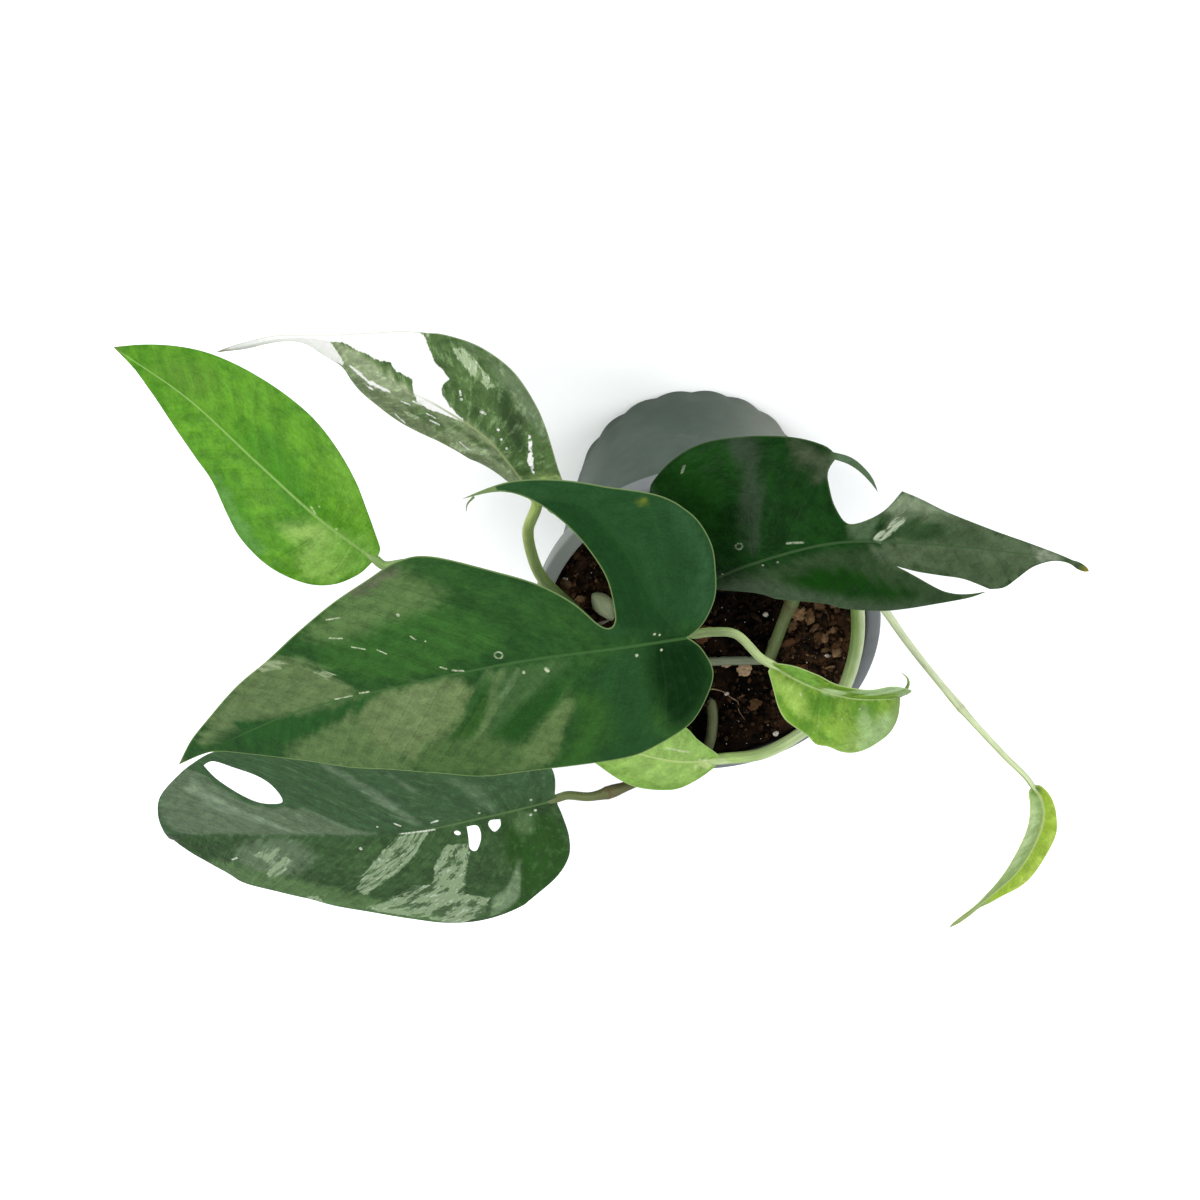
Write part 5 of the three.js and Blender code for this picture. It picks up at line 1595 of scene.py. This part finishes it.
def pot_profile():
    """The pot's profile, as [radius, height]: up the outside and over the rim, then down the inside."""
    top = POT_HEIGHT - COLLAR_THICKNESS
    skirt = RIM_RADIUS - COLLAR_THICKNESS
    skirt_foot = skirt - COLLAR_DRAFT
    collar_foot = RIM_RADIUS - COLLAR_DRAFT
    foot = POT_HEIGHT - COLLAR_HEIGHT
    outside = [[BASE_RADIUS - 0.9, 0.0], [BASE_RADIUS - 0.3, 0.15], [BASE_RADIUS, 0.7]]
    outside += [[wall_radius(z), z] for z in np.arange(1.5, SCALLOP_HEIGHT + 2, 1.5)]
    outside += [[wall_radius(z), z] for z in np.linspace(SCALLOP_HEIGHT + 4, top - 0.6, WALL_ROWS)]
    outside += [[wall_radius(top) + 0.25, top - 0.15], [wall_radius(top) + 0.6, top]]
    outside += [[skirt - 0.4, top], [skirt, top - 0.4]]
    outside += [[skirt_foot, foot + 0.5], [skirt_foot + 0.15, foot + 0.1], [skirt_foot + 0.5, foot]]
    outside += [[collar_foot - 0.35, foot], [collar_foot - 0.08, foot + 0.12], [collar_foot, foot + 0.5]]
    outside += [[RIM_RADIUS - 0.05, POT_HEIGHT - 1.1], [RIM_RADIUS - 0.2, POT_HEIGHT - 0.5]]
    outside += [[RIM_RADIUS - 0.5, POT_HEIGHT - 0.15], [RIM_RADIUS - 1.0, POT_HEIGHT]]
    outside += [[MOUTH_RADIUS + 0.9, POT_HEIGHT], [MOUTH_RADIUS + 0.35, POT_HEIGHT - 0.15]]
    bore = [[MOUTH_RADIUS, POT_HEIGHT - 0.6]]
    bore += [[bore_radius(z), z] for z in np.linspace(POT_HEIGHT - 2, POT_FLOOR, WALL_ROWS)]
    return outside, bore


def pot_rings():
    """The rings of points of the pot's wall and collar. Only the outside has the scallops of the foot."""
    angles = np.linspace(0, 2 * np.pi, POT_SIDES, endpoint=False)
    wave = np.abs(np.sin(SCALLOPS / 2 * angles))
    outside, bore = pot_profile()
    rings = []
    for rows, depth in ((outside, SCALLOP_DEPTH), (bore, 0.0)):
        for radius, z in rows:
            pulled = radius - depth * max(0.0, 1 - z / SCALLOP_HEIGHT) * (1 - wave)
            ring = [pulled * np.cos(angles), pulled * np.sin(angles), np.full(POT_SIDES, z)]
            rings.append(np.stack(ring, -1))
    return rings


def floor_layout(rim):
    """The pot's floor laid out flat within its rim, with the drain holes through it."""
    turns = np.linspace(0, 2 * np.pi, DRAIN_COUNT, endpoint=False)
    middles = [(DRAIN_CIRCLE * math.cos(turn), DRAIN_CIRCLE * math.sin(turn)) for turn in turns]
    drains = [circle(x, y, DRAIN_RADIUS, DRAIN_SIDES) for x, y in middles]
    marks = np.arange(-FLOOR_REACH, FLOOR_REACH + 1, FLOOR_STEP)
    spots = np.array([[x, y] for x in marks for y in marks])
    spots = spots[np.hypot(spots[:, 0], spots[:, 1]) < bore_radius(POT_FLOOR) - FLOOR_CLEAR]
    for drain in drains:
        spots = spots[(distance_to(spots, drain) > DRAIN_CLEAR) & ~inside(spots, [drain])]
    return triangulate([rim, *drains], spots)


def weld(mesh):
    """Joins a mesh's double points and turns its faces outwards."""
    clean = bmesh.new()
    clean.from_mesh(mesh)
    bmesh.ops.remove_doubles(clean, verts=clean.verts, dist=1e-6)
    bmesh.ops.recalc_face_normals(clean, faces=clean.faces)
    clean.to_mesh(mesh)
    clean.free()


def build_pot():
    """The pot in one skin: a scalloped foot, a tapered wall, a turned-down collar with a rounded lip, and
    a drained floor."""
    rings = pot_rings()
    flat, triangles = floor_layout(rings[-1][:, :2])
    upper = np.column_stack([flat, np.full(len(flat), POT_FLOOR)])
    lower = np.column_stack([flat, np.zeros(len(flat))])
    points = np.vstack([*rings, upper, lower])
    first_upper = len(rings) * POT_SIDES
    first_lower = first_upper + len(flat)
    faces = band_faces(len(rings), POT_SIDES)
    faces += [*(triangles + first_upper).tolist(), *(triangles[:, ::-1] + first_lower).tolist()]

    reach = np.hypot(flat[:, 0], flat[:, 1])
    rim = set(np.where(reach > bore_radius(POT_FLOOR) - ON_RIM)[0].tolist())
    for a, b in open_edges(triangles):
        if a not in rim or b not in rim:
            faces.append((first_upper + b, first_upper + a, first_lower + a, first_lower + b))
    rim = sorted(rim, key=lambda i: math.atan2(flat[i, 1], flat[i, 0]) % (2 * math.pi))
    for k in range(POT_SIDES):
        beside = (k + 1) % POT_SIDES
        faces.append((first_lower + rim[k], first_lower + rim[beside], beside, k))
    piece = make_mesh("pot_shell", points, faces, [pot_material()], sharp=38.0)
    weld(piece.data)
    add_piece(piece, "pot")


def soil_top(x, y):
    """The height of the soil: gentle lumps, and the bank along one side of the mouth."""
    lumps = np.sin(0.31 * x + 1.3) * np.cos(0.27 * y - 0.4)
    lumps = lumps + 0.6 * np.sin(0.53 * x - 0.37 * y) + 0.4 * np.cos(0.71 * y + 0.45 * x)
    bank = BANK_HEIGHT * smoothstep(np.hypot(x, y), MOUTH_RADIUS - BANK_WIDTH, MOUTH_RADIUS)
    bank = bank * np.clip(BANK_REACH + np.cos(np.arctan2(y, x) - math.radians(BANK_TOWARDS)), 0, 1)
    return SOIL_LEVEL + SOIL_RELIEF * lumps / 2 + bank


def bed_height(x, y):
    """The height of the bed under the loose grains: the soil's own, roughened and a little lower."""
    coarse = 1.6 * noise.noise(Vector((x, y, 3.0)) / 4.5)
    fine = 0.9 * noise.noise(Vector((x, y, 9.0)) / 1.9)
    return soil_top(x, y) + (coarse + fine) - BED_DROP


def bed_ring(radius, shift=0.0):
    """The [x, y] of one ring of the bed, turned by a share of the way from one point to the next."""
    turns = [2 * math.pi * (k + shift) / BED_SIDES for k in range(BED_SIDES)]
    return [(radius * math.cos(turn), radius * math.sin(turn)) for turn in turns]


def soil_bed():
    """The bed of fine peat, closed underneath: its top in rings from the middle out, then its side."""
    edge = bore_radius(SOIL_LEVEL) - SOIL_GAP
    points = [[0.0, 0.0, soil_top(0.0, 0.0)]]
    for i in range(1, BED_RINGS + 1):
        points += [[x, y, bed_height(x, y)] for x, y in bed_ring(edge * i / BED_RINGS, 0.5 * (i % 2))]
    for z in BED_ROWS:
        points += [[x, y, z] for x, y in bed_ring(bore_radius(z) - SIDE_GAP)]
    points = np.array(points)
    faces = [(0, 1 + k, 1 + (k + 1) % BED_SIDES) for k in range(BED_SIDES)]
    faces += band_faces(BED_RINGS + len(BED_ROWS), BED_SIDES, first=1, turned=True)
    last = len(points) - BED_SIDES
    faces.append(tuple(range(last, len(points)))[::-1])
    mixed = np.array([noise.noise(Vector(p) / 4.0) for p in points.tolist()])[:, None] + 0.5
    dark, rust = np.array(srgb(8, 6, 4)), np.array(srgb(44, 29, 17))
    return points, faces, dark + (rust - dark) * np.clip(mixed, 0, 1)


def ball(detail):
    """The points and triangles of a ball of radius 1."""
    made = bmesh.new()
    bmesh.ops.create_icosphere(made, subdivisions=detail, radius=1.0)
    shape = np.array([list(v.co) for v in made.verts])
    faces = np.array([[v.index for v in f.verts] for f in made.faces])
    made.free()
    return shape, faces


def dented(random, shape, size, flat, spot, turn, tilt):
    """A ball's points dented, flattened, turned and tilted, at a spot on the soil."""
    dents = 1 + 0.55 * (random.random(len(shape)) - 0.5)
    stretch = np.array([1.0, 0.55 + 0.45 * random.random(), flat * (0.7 + 0.6 * random.random())])
    turned = Matrix.Rotation(turn, 3, "Z") @ Matrix.Rotation((random.random() - 0.5) * tilt, 3, "X")
    turned = turned @ Matrix.Rotation((random.random() - 0.5) * tilt, 3, "Y")
    return (shape * dents[:, None] * stretch * size / 2) @ np.array(turned).T + spot


def strewn(random, kind):
    """Loose grains of one kind, strewn over the soil."""
    shape, faces = ball(kind["detail"])
    paints = [np.array(srgb(*paint)) for paint in kind["paints"]]
    least, most = kind["sizes"]
    parts = []
    for _ in range(kind["count"]):
        radius = (bore_radius(SOIL_LEVEL) - GRAIN_CLEAR) * math.sqrt(random.random())
        angle = random.random() * 2 * math.pi
        x, y = radius * math.cos(angle), radius * math.sin(angle)
        size = least + (most - least) * random.random() ** 2.2
        spot = [x, y, soil_top(x, y) + size * kind["lift"] * kind["flat"]]
        turn = random.random() * 6.28
        points = dented(random, shape, size, kind["flat"], spot, turn, GRAIN_TILT)
        shade = 0.6 + 0.8 * random.random()
        paint = paints[int(random.random() * len(paints))]
        parts.append((points, faces, np.tile([*(paint[:3] * shade), 1.0], (len(shape), 1))))
    return join(parts)


def chips(random):
    """The bark and perlite that the photo shows, each at its place. The longer chips are flatter."""
    shape, faces = ball(CHIP_DETAIL)
    parts = []
    for paint, places in CHIPS.items():
        for x, y, length, turn in places:
            flat = CHIP_FLAT if length > LONG_CHIP else CRUMB_FLAT
            spot = [x, y, soil_top(x, y) + CHIP_LIFT]
            points = dented(random, shape, length, flat, spot, math.radians(turn), CHIP_TILT)
            parts.append((points, faces, np.tile(srgb(*paint), (len(shape), 1))))
    return join(parts)


def roots():
    """Fine dry roots that lie on the soil."""
    parts = []
    for path, radius, paint in ROOTS:
        lie = [[x, y, float(soil_top(x, y)) + ROOT_LIFT + radius] for x, y in path]
        points, faces, _, _ = tube(lie, tapered(radius), ROOT_SIDES, ROOT_STEP)
        parts.append((points, faces, np.tile(srgb(*paint), (len(points), 1))))
    return join(parts)


def dry_out(points, faces, tints):
    """The same peat, darker where it is wet in the middle and paler where it has dried at the sides."""
    dry = WET_SHADE + DRY_GAIN * smoothstep(np.abs(points[:, :1] - WET_AT), *DRY_FROM)
    return points, faces, tints * np.hstack([dry, dry, dry, np.ones_like(dry)])


def build_soil():
    """The soil bed with its crumbs, bark, perlite with painted glints, and roots in one piece."""
    random = np.random.default_rng(SOIL_SEED)
    parts = [dry_out(*soil_bed()), dry_out(*strewn(random, GRAINS["peat"]))]
    parts += [strewn(random, GRAINS["bark"]), strewn(random, GRAINS["perlite_and_glints"]), chips(random), roots()]
    points, faces, tints = join(parts)
    piece = make_mesh("soil_bed", points, faces, [soil_material()], {"tint": tints}, sharp=70.0)
    add_piece(piece, "soil")


def build_camera():
    """A camera at the photo's viewing angle."""
    elevation, roll = math.radians(CAMERA_ELEVATION), math.radians(CAMERA_ROLL)
    ahead = Vector((0, -math.cos(elevation), -math.sin(elevation)))
    level = Vector((1, 0, 0))
    upright = Vector((0, math.sin(elevation), -math.cos(elevation)))
    right = level * math.cos(roll) + upright * math.sin(roll)
    up = upright * math.cos(roll) - level * math.sin(roll)
    camera = bpy.data.objects.new("camera", bpy.data.cameras.new("camera"))
    camera.data.lens = CAMERA_LENS
    camera.data.sensor_width = CAMERA_SENSOR
    camera.data.clip_start = CAMERA_NEAR
    spot = CAMERA_TARGET - ahead * CAMERA_DISTANCE
    camera.matrix_world = Matrix.Translation(spot) @ Matrix((right, up, -ahead)).transposed().to_4x4()
    bpy.context.scene.collection.objects.link(camera)
    bpy.context.scene.camera = camera


def build_light():
    """An even pale world and two large lamps that point at the plant."""
    world = bpy.data.worlds.new("studio")
    world.use_nodes = True
    background = world.node_tree.nodes["Background"]
    background.inputs["Color"].default_value = WORLD_COLOUR
    background.inputs["Strength"].default_value = WORLD_STRENGTH
    bpy.context.scene.world = world
    bpy.context.scene.view_settings.view_transform = "Standard"
    for name, (spot, power) in LAMPS.items():
        light = bpy.data.lights.new(name, "AREA")
        light.shape = "DISK"
        light.size = LAMP_SIZE
        light.energy = power
        lamp = bpy.data.objects.new(name, light)
        lamp.location = spot
        lamp.rotation_euler = (CAMERA_TARGET - Vector(spot)).to_track_quat("-Z", "Y").to_euler()
        bpy.context.scene.collection.objects.link(lamp)


def build_floor():
    """A wide round floor of backdrop paper."""
    rim = circle(0.0, 0.0, FLOOR_RADIUS, FLOOR_SIDES)
    points = np.column_stack([rim, np.zeros(len(rim))])
    floor = make_mesh("floor", points, [tuple(range(len(rim)))], [floor_material()])


build_camera()
build_light()
build_floor()
build_pot()
build_soil()
for leaf_name in LEAVES:
    build_leaf(leaf_name)
stem_skin = stem_material()
for stem_name in STEMS:
    build_stem(stem_name, stem_skin)
